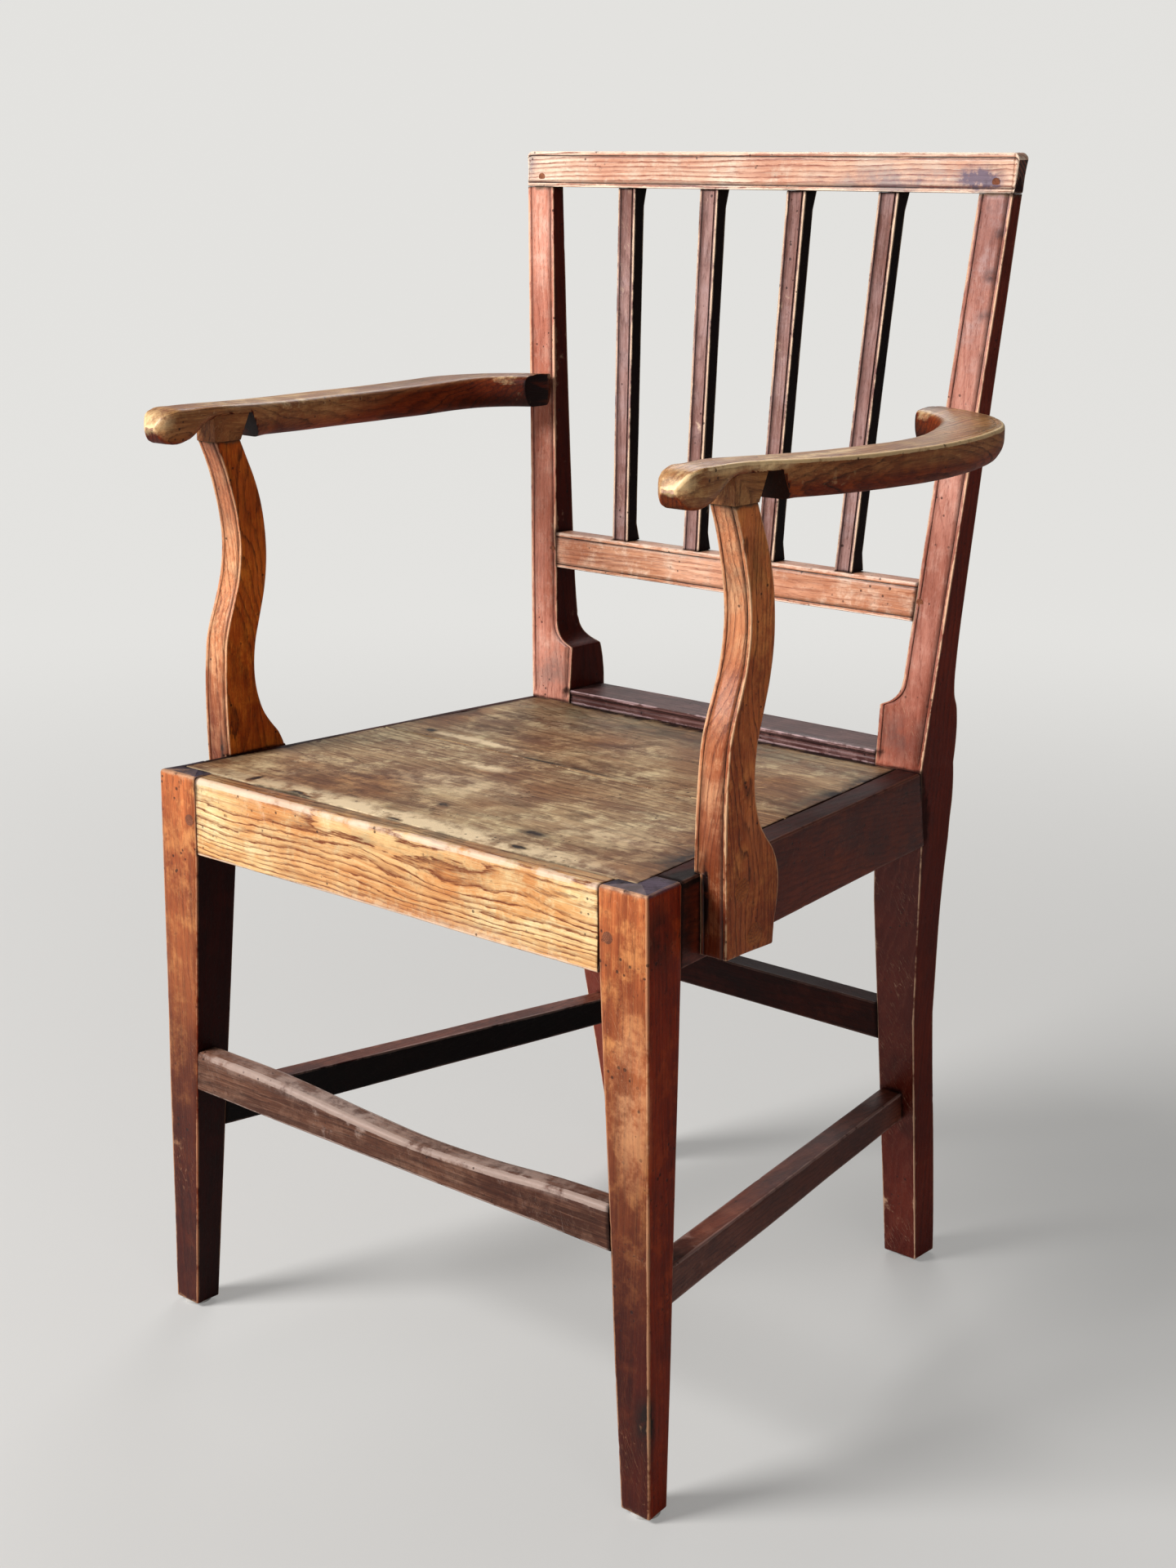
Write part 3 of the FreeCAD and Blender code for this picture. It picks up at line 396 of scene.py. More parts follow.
def finishPiece(name, nodes, millimetres, faces, layers, material, marks=(), friends=()):
    place = toMetres(millimetres)
    layers["dirtAndShade"] = dirtAndShadeNear(place, list(nodes) + list(friends))
    layers["stainAndPaintedLight"] = stainAndLightSpots(millimetres, marks)
    mesh = bpy.data.meshes.new(name)
    mesh.from_pydata(place.tolist(), [], faces)
    for layer, values in layers.items():
        writeLayer(mesh, layer, values)
    mesh.materials.append(material)
    mesh.shade_smooth()
    piece = bpy.data.objects.new(name, mesh)
    bpy.context.scene.collection.objects.link(piece)
    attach(piece, "root")
    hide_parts(*nodes)
    return piece


freshReach = 0.0004


def carve(piece, cutters, operation="DIFFERENCE", bare=None):
    # Cuts or joins plain blocks, then gives the new points the layers of the old ones near them
    mesh = piece.data
    old = pointsOf(mesh)
    tree = KDTree(len(old))
    for i, p in enumerate(old):
        tree.insert(p, i)
    tree.balance()
    kept = {}
    for layer in ("grain", "edge", "dirtAndShade", "stainAndPaintedLight", "shade", "cap", "line"):
        data = mesh.attributes[layer].data
        vector = layer == "grain"
        values = np.zeros(len(old) * (3 if vector else 1))
        data.foreach_get("vector" if vector else "value", values)
        kept[layer] = values.reshape(len(old), -1)
    for cutter in cutters:
        tool = bpy.data.objects.new("tool", cutter)
        bpy.context.scene.collection.objects.link(tool)
        modifier = piece.modifiers.new("cut", "BOOLEAN")
        modifier.operation = operation
        modifier.solver = "EXACT"
        modifier.object = tool
        bpy.context.view_layer.update()
        result = bpy.data.meshes.new_from_object(piece.evaluated_get(bpy.context.evaluated_depsgraph_get()))
        piece.modifiers.clear()
        piece.data = result
        bpy.data.objects.remove(tool)
    mesh = piece.data
    found = [tree.find(p) for p in pointsOf(mesh)]
    near = [hit[1] for hit in found]
    fresh = np.array([hit[2] for hit in found]) > freshReach
    for layer, values in kept.items():
        if layer in mesh.attributes:
            mesh.attributes.remove(mesh.attributes[layer])
        values = values[near]
        if bare and layer in bare:
            values[fresh] = bare[layer]
        writeLayer(mesh, layer, values if layer == "grain" else values.ravel())
    mesh.shade_smooth()
    mesh.set_sharp_from_angle(angle=math.radians(40))
    return piece


def prism(outline, low, high, across="x"):
    # A plain block from a drawn outline, for cutting; outline in (depth, height) or (x, depth)
    points = []
    for end in (low, high):
        for a, b in outline:
            points.append((end, a, b) if across == "x" else (a, b, end))
    n = len(outline)
    faces = [list(range(n))[::-1], list(range(n, 2 * n))]
    faces += [[i, (i + 1) % n, n + (i + 1) % n, n + i] for i in range(n)]
    mesh = bpy.data.meshes.new("block")
    place = toMetres(points)
    mesh.from_pydata(place.tolist(), [], faces)
    if volumeOf(place, faces) < 0:
        mesh.flip_normals()
    return mesh


def barPiece(name, nodes, corners, inset, radii, sideMarks, look, wear, seed, grain, openEnds=False,
             sinkScale=None, marks=(), sink=None, shades=None, rubbed=None, knots=(), capRings=(), friends=()):
    # One wooden bar from its corner lines
    rings, edges, shadeValues, lines = ringsOf(corners, radii, sideMarks, sinkScale, shades, rubbed)
    if sink is not None:
        rings = sink(rings)
    if openEnds:
        run = np.linalg.norm(np.diff(corners.mean(1), axis=0), axis=1)
        run = np.concatenate([[0], np.cumsum(run)])
        fromEnd = run if openEnds == "first" else np.minimum(run, run[-1] - run)
        edges = np.maximum(edges, np.exp(-fromEnd / endFade)[:, None])
    rings = wearDown(rings, edges, inset, wear, seed)
    points, faces, source = loftFaces(rings)
    lie, heart, tilt = grain
    layers = {"grain": grainOf(points, lie, heart, tilt), "edge": edges.ravel()[source],
              "shade": shadeValues.ravel()[source], "line": lines.ravel()[source], "cap": np.zeros(len(points))}
    for centre, size, push in knots:
        # The grain runs round a knot
        away = ((points - np.array(centre)) / np.array(size)) ** 2
        layers["grain"][:, 0] += push / 1000 * np.exp(-away.sum(1))
    ringCount = rings.shape[0] * rings.shape[1]
    layers["cap"][ringCount:] = 1
    for back, amount in enumerate(capRings, 1):
        layers["cap"][ringCount - back * rings.shape[1]:ringCount - (back - 1) * rings.shape[1]] = amount
    if openEnds:
        layers["edge"][ringCount:] *= 0.35
    if openEnds == "first":
        layers["cap"][-(4 * rings.shape[1] + 1):] = 0
    material, slot = looks[look]
    return finishPiece(name, nodes, points, faces, layers, material, marks, friends)


# Looks: shared effects first, then one finish for each kind of wood

def paint(red, green, blue):
    # A colour as read off the photo, 0 to 255
    steps = [value / 255 for value in (red, green, blue)]
    return tuple(v / 12.92 if v < 0.04045 else ((v + 0.055) / 1.055) ** 2.4 for v in steps) + (1.0,)


def wire(tree, kind, inputs=None, **settings):
    node = tree.nodes.new(kind)
    for setting, value in settings.items():
        setattr(node, setting, value)
    for socket, value in (inputs or {}).items():
        if isinstance(value, bpy.types.NodeSocket):
            tree.links.new(value, node.inputs[socket])
        else:
            node.inputs[socket].default_value = value
    return node


def put(tree, kind, inputs=None, **settings):
    return wire(tree, kind, inputs, **settings).outputs[0]


def calc(tree, operation, a, b=0.5, c=0.5, clamp=False):
    return put(tree, "ShaderNodeMath", {0: a, 1: b, 2: c}, operation=operation, use_clamp=clamp)


def times(tree, a, b, clamp=False):
    return calc(tree, "MULTIPLY", a, b, clamp=clamp)


def timesPlus(tree, a, b, c, clamp=False):
    return calc(tree, "MULTIPLY_ADD", a, b, c, clamp)


def minus(tree, a, b):
    return calc(tree, "SUBTRACT", a, b)


def stretch(tree, vector, factors):
    return put(tree, "ShaderNodeVectorMath", {0: vector, 1: factors}, operation="MULTIPLY")


def spread(tree, value, low, high, start=0.0, end=1.0):
    node = wire(tree, "ShaderNodeMapRange", {0: value, 1: low, 2: high, 3: start, 4: end}, clamp=True,
                interpolation_type="SMOOTHSTEP")
    return node.outputs[0]


def cloud(tree, vector, scale, detail=3.0, rough=0.5):
    inputs = {"Vector": vector, "Scale": scale, "Detail": detail, "Roughness": rough}
    return wire(tree, "ShaderNodeTexNoise", inputs).outputs["Fac"]


def mixed(tree, factor, a, b, mode="MIX"):
    inputs = {0: factor, 6: a, 7: b}
    return wire(tree, "ShaderNodeMix", inputs, data_type="RGBA", blend_type=mode).outputs[2]


def newGroup(name, inputs, outputs):
    tree = bpy.data.node_groups.new(name, "ShaderNodeTree")
    for title, kind, value in inputs:
        socket = tree.interface.new_socket(title, in_out="INPUT", socket_type=kind)
        if kind == "NodeSocketFloat":
            socket.default_value = value
    for title in outputs:
        tree.interface.new_socket(title, in_out="OUTPUT", socket_type="NodeSocketFloat")
    return tree, tree.nodes.new("NodeGroupInput").outputs, tree.nodes.new("NodeGroupOutput").inputs


def makeGrainGroup():
    tree, given, out = newGroup("woodGrain", [
        ("Grain", "NodeSocketVector", None), ("Spacing", "NodeSocketFloat", 0.004),
        ("Wave", "NodeSocketFloat", 1.2), ("Ripple", "NodeSocketFloat", 0.35)],
                                ("Ring", "Pore", "Fibre", "Blotch", "Streak"))
    grain = given["Grain"]
    parts = wire(tree, "ShaderNodeSeparateXYZ", {0: grain}).outputs
    square = calc(tree, "ADD", times(tree, parts[0], parts[0]), times(tree, parts[1], parts[1]))
    radius = calc(tree, "DIVIDE", calc(tree, "SQRT", square), given["Spacing"])
    slow = minus(tree, cloud(tree, stretch(tree, grain, (20, 20, 6)), 1.0, 2.0), 0.5)
    quick = minus(tree, cloud(tree, stretch(tree, grain, (90, 90, 17)), 1.0, 3.0, 0.6), 0.5)
    rag = minus(tree, cloud(tree, stretch(tree, grain, (600, 600, 90)), 1.0, 3.0, 0.7), 0.5)
    phase = timesPlus(tree, slow, times(tree, given["Wave"], 6.0), radius)
    phase = timesPlus(tree, quick, times(tree, given["Ripple"], 5.0), phase)
    phase = timesPlus(tree, rag, 0.5, phase)
    year = calc(tree, "FLOOR", phase, 0)
    turn = calc(tree, "FRACT", phase, 0)
    luck = put(tree, "ShaderNodeTexWhiteNoise", {"W": year}, noise_dimensions="1D")
    start = timesPlus(tree, luck, 0.45, 0.15)
    rise = calc(tree, "DIVIDE", minus(tree, turn, start), minus(tree, 0.86, start), clamp=True)
    fall = spread(tree, turn, 0.86, 1.0, 1.0, 0.0)
    line = times(tree, calc(tree, "POWER", rise, 1.5), fall)
    fibres = cloud(tree, stretch(tree, grain, (1000, 1000, 26)), 1.0, 5.0, 0.7)
    broken = spread(tree, fibres, 0.34, 0.56, 0.25, 1.0)
    ring = times(tree, times(tree, line, timesPlus(tree, luck, 0.55, 0.45)), broken)
    tree.links.new(ring, out["Ring"])
    dashes = cloud(tree, stretch(tree, grain, (2300, 2300, 150)), 1.0, 1.0)
    pore = times(tree, spread(tree, dashes, 0.57, 0.68), timesPlus(tree, line, 0.7, 0.3))
    tree.links.new(pore, out["Pore"])
    tree.links.new(fibres, out["Fibre"])
    tree.links.new(cloud(tree, stretch(tree, grain, (30, 30, 9)), 1.0, 5.0, 0.65), out["Blotch"])
    long = cloud(tree, stretch(tree, grain, (330, 330, 7)), 1.0, 5.0, 0.7)
    tree.links.new(spread(tree, long, 0.47, 0.68), out["Streak"])
    return tree


def makePatinaGroup():
    tree, given, out = newGroup("patina", [
        ("Position", "NodeSocketVector", None), ("Edge", "NodeSocketFloat", 0.0),
        ("JointDirtShade", "NodeSocketFloat", 0.0), ("Nicks", "NodeSocketFloat", 0.5)],
                                ("Wear", "DirtShadeMask", "Nick", "Scratch", "Mottle", "Patch", "Speck"))
    place = given["Position"]
    rag = minus(tree, cloud(tree, place, 95.0, 5.0, 0.65), 0.5)
    patch = minus(tree, cloud(tree, place, 17.0, 2.0), 0.5)
    worn = timesPlus(tree, rag, 2.0, timesPlus(tree, patch, 2.2, given["Edge"]))
    tree.links.new(spread(tree, worn, 0.5, 1.0), out["Wear"])
    # Dirt and painted shade where pieces meet, broken up by noise
    dirtAndShadeLevel = timesPlus(tree, rag, 1.2, timesPlus(tree, patch, 1.0, given["JointDirtShade"]))
    present = spread(tree, given["JointDirtShade"], 0.0, 0.1)
    tree.links.new(times(tree, spread(tree, dirtAndShadeLevel, 0.3, 0.95), present), out["DirtShadeMask"])
    pits = wire(tree, "ShaderNodeTexVoronoi", {"Vector": place, "Scale": 150.0, "Randomness": 1.0}).outputs
    small = timesPlus(tree, minus(tree, given["Nicks"], 1.0), 0.25, 0.30)
    pit = minus(tree, small, timesPlus(tree, rag, 0.25, pits["Distance"]))
    some = spread(tree, cloud(tree, place, 31.0, 2.0), 0.52, 0.62)
    tree.links.new(times(tree, spread(tree, pit, 0.0, 0.06), some), out["Nick"])
    turned = put(tree, "ShaderNodeVectorRotate", {"Vector": place, "Axis": (0.3, 0.5, 1.0), "Angle": 0.7})
    hair = cloud(tree, stretch(tree, turned, (420, 14, 60)), 1.0, 1.0)
    thin = calc(tree, "ABSOLUTE", minus(tree, hair, 0.5), 0)
    rare = spread(tree, cloud(tree, place, 13.0, 2.0), 0.5, 0.66)
    tree.links.new(times(tree, spread(tree, thin, 0.0, 0.012, 1.0, 0.0), rare), out["Scratch"])
    tree.links.new(cloud(tree, place, 48.0, 6.0, 0.72), out["Mottle"])
    tree.links.new(cloud(tree, place, 7.0, 3.0, 0.55), out["Patch"])
    specks = cloud(tree, place, 330.0, 3.0, 0.6)
    tree.links.new(times(tree, spread(tree, specks, 0.60, 0.70), spread(tree, patch, -0.1, 0.2)), out["Speck"])
    return tree


grainGroup = makeGrainGroup()
patinaGroup = makePatinaGroup()


def startMaterial(name):
    material = bpy.data.materials.new(name)
    material.use_nodes = True
    tree = material.node_tree
    tree.nodes.clear()
    shader = tree.nodes.new("ShaderNodeBsdfPrincipled")
    end = tree.nodes.new("ShaderNodeOutputMaterial")
    tree.links.new(shader.outputs[0], end.inputs[0])
    return material, tree, shader


def layer(tree, name, vector=False):
    node = wire(tree, "ShaderNodeAttribute", attribute_name=name, attribute_type="GEOMETRY")
    return node.outputs["Vector" if vector else "Fac"]


bumpDepth = 0.0004


def makeWood(name, finish):
    # The whole finish of one kind of wood, from its own dictionary
    material, tree, shader = startMaterial(name)
    place = wire(tree, "ShaderNodeTexCoord").outputs["Object"]
    grain = wire(tree, "ShaderNodeGroup", {
        "Grain": layer(tree, "grain", True), "Spacing": finish["spacing"] / 1000,
        "Wave": finish.get("wave", 1.0), "Ripple": finish.get("ripple", 0.3)}, node_tree=grainGroup).outputs
    old = wire(tree, "ShaderNodeGroup", {
        "Position": place, "Edge": layer(tree, "edge"), "JointDirtShade": layer(tree, "dirtAndShade"),
        "Nicks": finish.get("nicks", 0.5)}, node_tree=patinaGroup).outputs
    mottle, fibre = old["Mottle"], finish.get("fibre", 0.55)
    uneven = minus(tree, mottle, 0.5)
    height = wire(tree, "ShaderNodeSeparateXYZ", {0: place}).outputs[2]
    colour = mixed(tree, spread(tree, grain["Blotch"], 0.36, 0.62), finish["deep"], finish["body"])
    lighter = spread(tree, mottle, 0.46, 0.66, 0.0, finish.get("mottle", 0.7))
    colour = mixed(tree, lighter, colour, finish["light"])
    colour = mixed(tree, spread(tree, grain["Fibre"], 0.5, 0.7, 0.0, fibre), colour, finish["light"])
    colour = mixed(tree, spread(tree, grain["Fibre"], 0.46, 0.3, 0.0, fibre), colour, finish["deep"])
    colour = mixed(tree, times(tree, grain["Streak"], finish.get("streak", 0.45)), colour, finish["dark"])
    patchy = spread(tree, old["Patch"], 0.36, 0.64)
    patches = mixed(tree, patchy, finish.get("low", paint(214, 196, 190)), (1, 1, 1, 1))
    colour = mixed(tree, 1.0, colour, patches, "MULTIPLY")
    # Painted shade: whole sides of a piece made darker by the shade layer
    shade = spread(tree, timesPlus(tree, uneven, 0.5, layer(tree, "shade")), 0.0, 1.0)
    # Painted shade below the seat: darker towards the bottom, less so on faces already in painted shade
    lit = timesPlus(tree, shade, -0.75, 1.0)
    for low, high, tone in finish.get("lowShade", ()):
        level = timesPlus(tree, uneven, 0.10, height)
        shadedLow = times(tree, spread(tree, level, low, high, 1.0, 0.0), lit)
        colour = mixed(tree, shadedLow, colour, tone, "MULTIPLY")
    # Painted reflection: the upper part tinted cool, as the sky shows in the polish
    if "skySheenTint" in finish:
        low, high, tone = finish["skySheenTint"]
        level = timesPlus(tree, uneven, 0.3, height)
        colour = mixed(tree, spread(tree, level, low, high), colour, tone, "MULTIPLY")
    colour = mixed(tree, times(tree, old["Scratch"], finish.get("scratch", 0.3)), colour, finish["worn"])
    # Painted shade: the shaded sides are multiplied by the finish's shade tint
    shadedColour = mixed(tree, 1.0, colour, finish.get("shadeTint", paint(110, 62, 48)), "MULTIPLY")
    colour = mixed(tree, shade, colour, shadedColour)
    # Deeper painted shade where the shade layer goes above 1
    hidden = spread(tree, layer(tree, "shade"), 1.0, 2.0)
    colour = mixed(tree, hidden, colour, mixed(tree, 1.0, colour, paint(88, 58, 52), "MULTIPLY"))
    endGrain = mixed(tree, spread(tree, mottle, 0.4, 0.62), finish.get("cap", paint(48, 22, 20)),
                     finish.get("capLight", paint(78, 44, 38)))
    colour = mixed(tree, times(tree, layer(tree, "cap"), 0.95), colour, endGrain)
    line = times(tree, grain["Ring"], finish["line"], clamp=True)
    # On faces in painted shade the ring lines and pores take the dirt-and-shade colour
    lineTone = mixed(tree, shade, finish["dark"], finish["dirtAndShade"])
    colour = mixed(tree, line, colour, lineTone)
    colour = mixed(tree, times(tree, grain["Pore"], finish.get("pore", 0.7)), colour, lineTone)
    colour = mixed(tree, times(tree, old["Speck"], finish.get("speck", 0.3)), colour, finish["dirtAndShade"])
    stainAndPaintedLight = layer(tree, "stainAndPaintedLight")
    # Dark spots: stains, and painted shade in the slots between parts; pale spots: wear and painted highlights
    dark = times(tree, calc(tree, "MAXIMUM", stainAndPaintedLight, 0.0), spread(tree, mottle, 0.36, 0.6, 0.3, 1.5),
                 clamp=True)
    pale = times(tree, calc(tree, "MAXIMUM", times(tree, stainAndPaintedLight, -1.0), 0.0),
                 spread(tree, mottle, 0.38, 0.6, 0.15, 1.4), clamp=True)
    colour = mixed(tree, dark, colour, finish.get("stain", finish["dirtAndShade"]))
    colour = mixed(tree, pale, colour, finish["worn"])
    # Wear shows less on faces in painted shade
    rubbedOff = times(tree, old["Wear"], timesPlus(tree, shade, -0.6, 1.0))
    colour = mixed(tree, times(tree, rubbedOff, finish["wear"]), colour, finish["worn"])
    colour = mixed(tree, times(tree, old["Nick"], 0.75), colour, finish["dirtAndShade"])
    colour = mixed(tree, times(tree, old["DirtShadeMask"], finish.get("dirtAndShadeAmount", 0.85)), colour, finish["dirtAndShade"])
    # Quirks and scored lines darkened with dirt and painted shade
    quirk = times(tree, layer(tree, "line"), spread(tree, mottle, 0.3, 0.5, 0.5, 0.95), clamp=True)
    colour = mixed(tree, quirk, colour, finish["dirtAndShade"])
    tree.links.new(colour, shader.inputs["Base Color"])
    shine = timesPlus(tree, shade, -0.85, 1.0)
    shader.inputs["Specular IOR Level"].default_value = 0.1
    rough = timesPlus(tree, grain["Blotch"], 0.24, finish.get("rough", 0.42) - 0.12)
    for value, amount in ((old["DirtShadeMask"], 0.25), (shade, 0.15)):
        rough = timesPlus(tree, value, amount, rough)
    rough = timesPlus(tree, line, 0.12, rough, clamp=True)
    tree.links.new(rough, shader.inputs["Roughness"])
    coat = times(tree, minus(tree, 1.0, old["DirtShadeMask"]), finish["coat"] + 0.1)
    coat = times(tree, coat, shine)
    tree.links.new(coat, shader.inputs["Coat Weight"])
    shader.inputs["Coat Roughness"].default_value = 0.32
    level = timesPlus(tree, grain["Pore"], -0.8, times(tree, line, -0.55))
    for value, amount in ((grain["Fibre"], 0.45), (old["Nick"], -2.0), (old["Scratch"], -0.5), (mottle, 0.8),
                          (old["Speck"], -0.7)):
        level = timesPlus(tree, value, amount, level)
    bump = wire(tree, "ShaderNodeBump", {"Height": level, "Strength": 0.5, "Distance": bumpDepth})
    tree.links.new(bump.outputs[0], shader.inputs["Normal"])
    return material


def makePlain(name, finish):
    # Iron and the white pads
    material, tree, shader = startMaterial(name)
    place = wire(tree, "ShaderNodeTexCoord").outputs["Object"]
    old = wire(tree, "ShaderNodeGroup", {"Position": place, "Nicks": finish["nicks"]},
               node_tree=patinaGroup).outputs
    colour = mixed(tree, spread(tree, old["Mottle"], 0.35, 0.65), finish["body"], finish["deep"])
    colour = mixed(tree, times(tree, old["Nick"], 0.7), colour, finish["dirtAndShade"])
    colour = mixed(tree, times(tree, old["Scratch"], 0.5), colour, finish["light"])
    tree.links.new(colour, shader.inputs["Base Color"])
    tree.links.new(timesPlus(tree, old["Mottle"], 0.4, finish["rough"] - 0.2), shader.inputs["Roughness"])
    shader.inputs["Metallic"].default_value = finish["metal"]
    level = timesPlus(tree, old["Nick"], -1.0, old["Mottle"])
    bump = wire(tree, "ShaderNodeBump", {"Height": level, "Strength": 0.4, "Distance": 0.0003})
    tree.links.new(bump.outputs[0], shader.inputs["Normal"])
    return material


finishes = {
    "leg": ("frame_wood", {
        "deep": paint(168, 82, 38), "body": paint(218, 120, 64), "light": paint(246, 166, 98),
        "dark": paint(88, 38, 18), "worn": paint(240, 180, 134), "dirtAndShade": paint(30, 13, 10),
        "shadeTint": paint(176, 100, 66), "cap": paint(38, 33, 43), "capLight": paint(82, 74, 90),
        "lowShade": [(0.10, 0.50, paint(86, 42, 24))], "spacing": 4.0, "line": 0.4, "wave": 0.8, "nicks": 0.62,
        "wear": 0.4, "coat": 0.2, "speck": 0.6, "mottle": 0.8, "streak": 0.35}),
    "frontRail": ("rail_wood", {
        "deep": paint(230, 168, 102), "body": paint(255, 220, 158), "light": paint(255, 242, 190),
        "dark": paint(124, 62, 30), "worn": paint(240, 210, 184), "dirtAndShade": paint(52, 26, 18),
        "shadeTint": paint(104, 66, 50), "low": paint(232, 206, 190), "spacing": 3.5, "line": 1.5, "wave": 0.6,
        "ripple": 0.4, "pore": 0.8, "wear": 0.7, "coat": 0.15, "streak": 0.35, "speck": 0.5, "fibre": 0.7}),
    "sideRail": ("frame_wood", {
        "deep": paint(92, 33, 18), "body": paint(122, 47, 26), "light": paint(156, 70, 38),
        "dark": paint(48, 18, 12), "worn": paint(156, 104, 84), "dirtAndShade": paint(20, 11, 10),
        "shadeTint": paint(124, 86, 76), "spacing": 4.0, "line": 0.5, "wear": 0.4, "coat": 0.12, "speck": 0.4}),
    "backRail": ("frame_wood", {
        "deep": paint(88, 52, 50), "body": paint(122, 82, 76), "light": paint(164, 124, 118),
        "dark": paint(44, 22, 22), "worn": paint(222, 186, 186), "dirtAndShade": paint(18, 10, 10),
        "shadeTint": paint(110, 84, 88), "spacing": 4.0, "line": 0.6, "wear": 0.75, "coat": 0.2, "streak": 0.5}),
    "post": ("back_wood", {
        "deep": paint(208, 128, 100), "body": paint(240, 166, 142), "light": paint(250, 198, 176),
        "dark": paint(128, 62, 46), "worn": paint(252, 204, 166), "dirtAndShade": paint(36, 16, 14),
        "stain": paint(86, 58, 56), "shadeTint": paint(146, 74, 48), "lowShade": [(0.37, 0.47, paint(128, 74, 60))],
        "spacing": 4.5, "line": 0.5, "wear": 0.75, "coat": 0.22, "streak": 0.3}),
    "crest": ("back_wood", {
        "deep": paint(230, 178, 150), "body": paint(250, 216, 188), "light": paint(255, 246, 224),
        "dark": paint(150, 84, 64), "worn": paint(255, 230, 204), "dirtAndShade": paint(52, 26, 22),
        "stain": paint(112, 92, 106), "shadeTint": paint(90, 46, 38), "low": paint(236, 218, 210),
        "cap": paint(26, 9, 8), "capLight": paint(48, 18, 16), "spacing": 3.2, "line": 1.6, "wave": 0.35,
        "ripple": 0.14, "wear": 0.7, "coat": 0.25, "streak": 0.3, "fibre": 0.8}),
    "midRail": ("back_wood", {
        "deep": paint(212, 146, 108), "body": paint(250, 194, 160), "light": paint(255, 222, 194),
        "dark": paint(138, 74, 52), "worn": paint(252, 218, 194), "dirtAndShade": paint(40, 20, 18),
        "shadeTint": paint(90, 50, 42), "low": paint(228, 204, 194), "spacing": 3.6, "line": 0.6, "wave": 0.8,
        "ripple": 0.4, "wear": 0.8, "coat": 0.25, "streak": 0.55, "mottle": 0.9}),
    "stick": ("stick_wood", {
        "deep": paint(150, 108, 98), "body": paint(182, 142, 134), "light": paint(204, 170, 166),
        "dark": paint(96, 56, 46), "worn": paint(255, 222, 190), "dirtAndShade": paint(24, 12, 11),
        "shadeTint": paint(62, 34, 28), "spacing": 3.4, "line": 0.5, "wear": 0.9, "coat": 0.22}),
    "arm": ("arm_wood", {
        "deep": paint(158, 98, 56), "body": paint(204, 148, 92), "light": paint(242, 198, 130),
        "dark": paint(88, 44, 24), "worn": paint(255, 218, 162), "dirtAndShade": paint(28, 13, 9),
        "shadeTint": paint(176, 102, 60), "cap": paint(150, 104, 88), "capLight": paint(196, 152, 138),
        "spacing": 3.4, "line": 0.9, "wave": 1.4, "wear": 0.85, "coat": 0.28, "rough": 0.38, "streak": 0.5,
        "fibre": 0.75}),
    "support": ("arm_wood", {
        "deep": paint(190, 110, 68), "body": paint(230, 152, 104), "light": paint(248, 190, 142),
        "dark": paint(100, 44, 26), "worn": paint(244, 196, 150), "dirtAndShade": paint(28, 12, 10),
        "shadeTint": paint(255, 196, 96), "lowShade": [(0.40, 0.54, paint(150, 106, 86))], "spacing": 4.0, "line": 0.9,
        "wave": 1.6, "wear": 0.65, "coat": 0.22, "streak": 0.4, "fibre": 0.7}),
    "seat": ("seat_wood", {
        "deep": paint(128, 90, 60), "body": paint(180, 148, 108), "light": paint(228, 206, 160),
        "dark": paint(76, 46, 30), "worn": paint(232, 206, 166), "dirtAndShade": paint(32, 18, 14),
        "low": paint(196, 158, 132), "spacing": 5.0, "line": 0.8, "wave": 1.0, "fibre": 0.8, "pore": 1.0,
        "mottle": 0.9, "rough": 0.55, "coat": 0.05, "scratch": 0.9, "wear": 0.5, "streak": 0.45, "speck": 0.4}),
    "stretcher": ("stretcher_wood", {
        "deep": paint(94, 44, 32), "body": paint(124, 64, 46), "light": paint(158, 98, 76),
        "dark": paint(48, 22, 18), "worn": paint(184, 150, 138), "dirtAndShade": paint(22, 12, 11),
        "shadeTint": paint(122, 76, 62), "spacing": 3.6, "line": 0.5, "wear": 0.45, "coat": 0.12, "speck": 0.4}),
    "footRest": ("stretcher_wood", {
        "deep": paint(84, 48, 34), "body": paint(118, 76, 56), "light": paint(158, 118, 96),
        "dark": paint(54, 28, 20), "worn": paint(184, 160, 148), "dirtAndShade": paint(28, 15, 12),
        "shadeTint": paint(104, 76, 70), "spacing": 3.6, "line": 0.7, "wear": 0.75, "coat": 0.1, "rough": 0.5,
        "streak": 0.6, "speck": 0.5, "fibre": 0.8}),
    "peg": ("peg_wood", {
        "deep": paint(112, 62, 44), "body": paint(156, 94, 64), "light": paint(190, 126, 88),
        "dark": paint(62, 34, 24), "worn": paint(204, 146, 108), "dirtAndShade": paint(24, 12, 10),
        "spacing": 1.2, "line": 0.9, "wear": 0.2, "coat": 0.1, "dirtAndShadeAmount": 0.8}),
    "plug": ("peg_wood", {
        "deep": paint(140, 64, 26), "body": paint(184, 98, 42), "light": paint(214, 136, 68),
        "dark": paint(76, 36, 20), "worn": paint(226, 176, 124), "dirtAndShade": paint(20, 10, 9),
        "spacing": 2.6, "line": 0.6, "wear": 0.3, "coat": 0.05, "dirtAndShadeAmount": 1.0}),
}
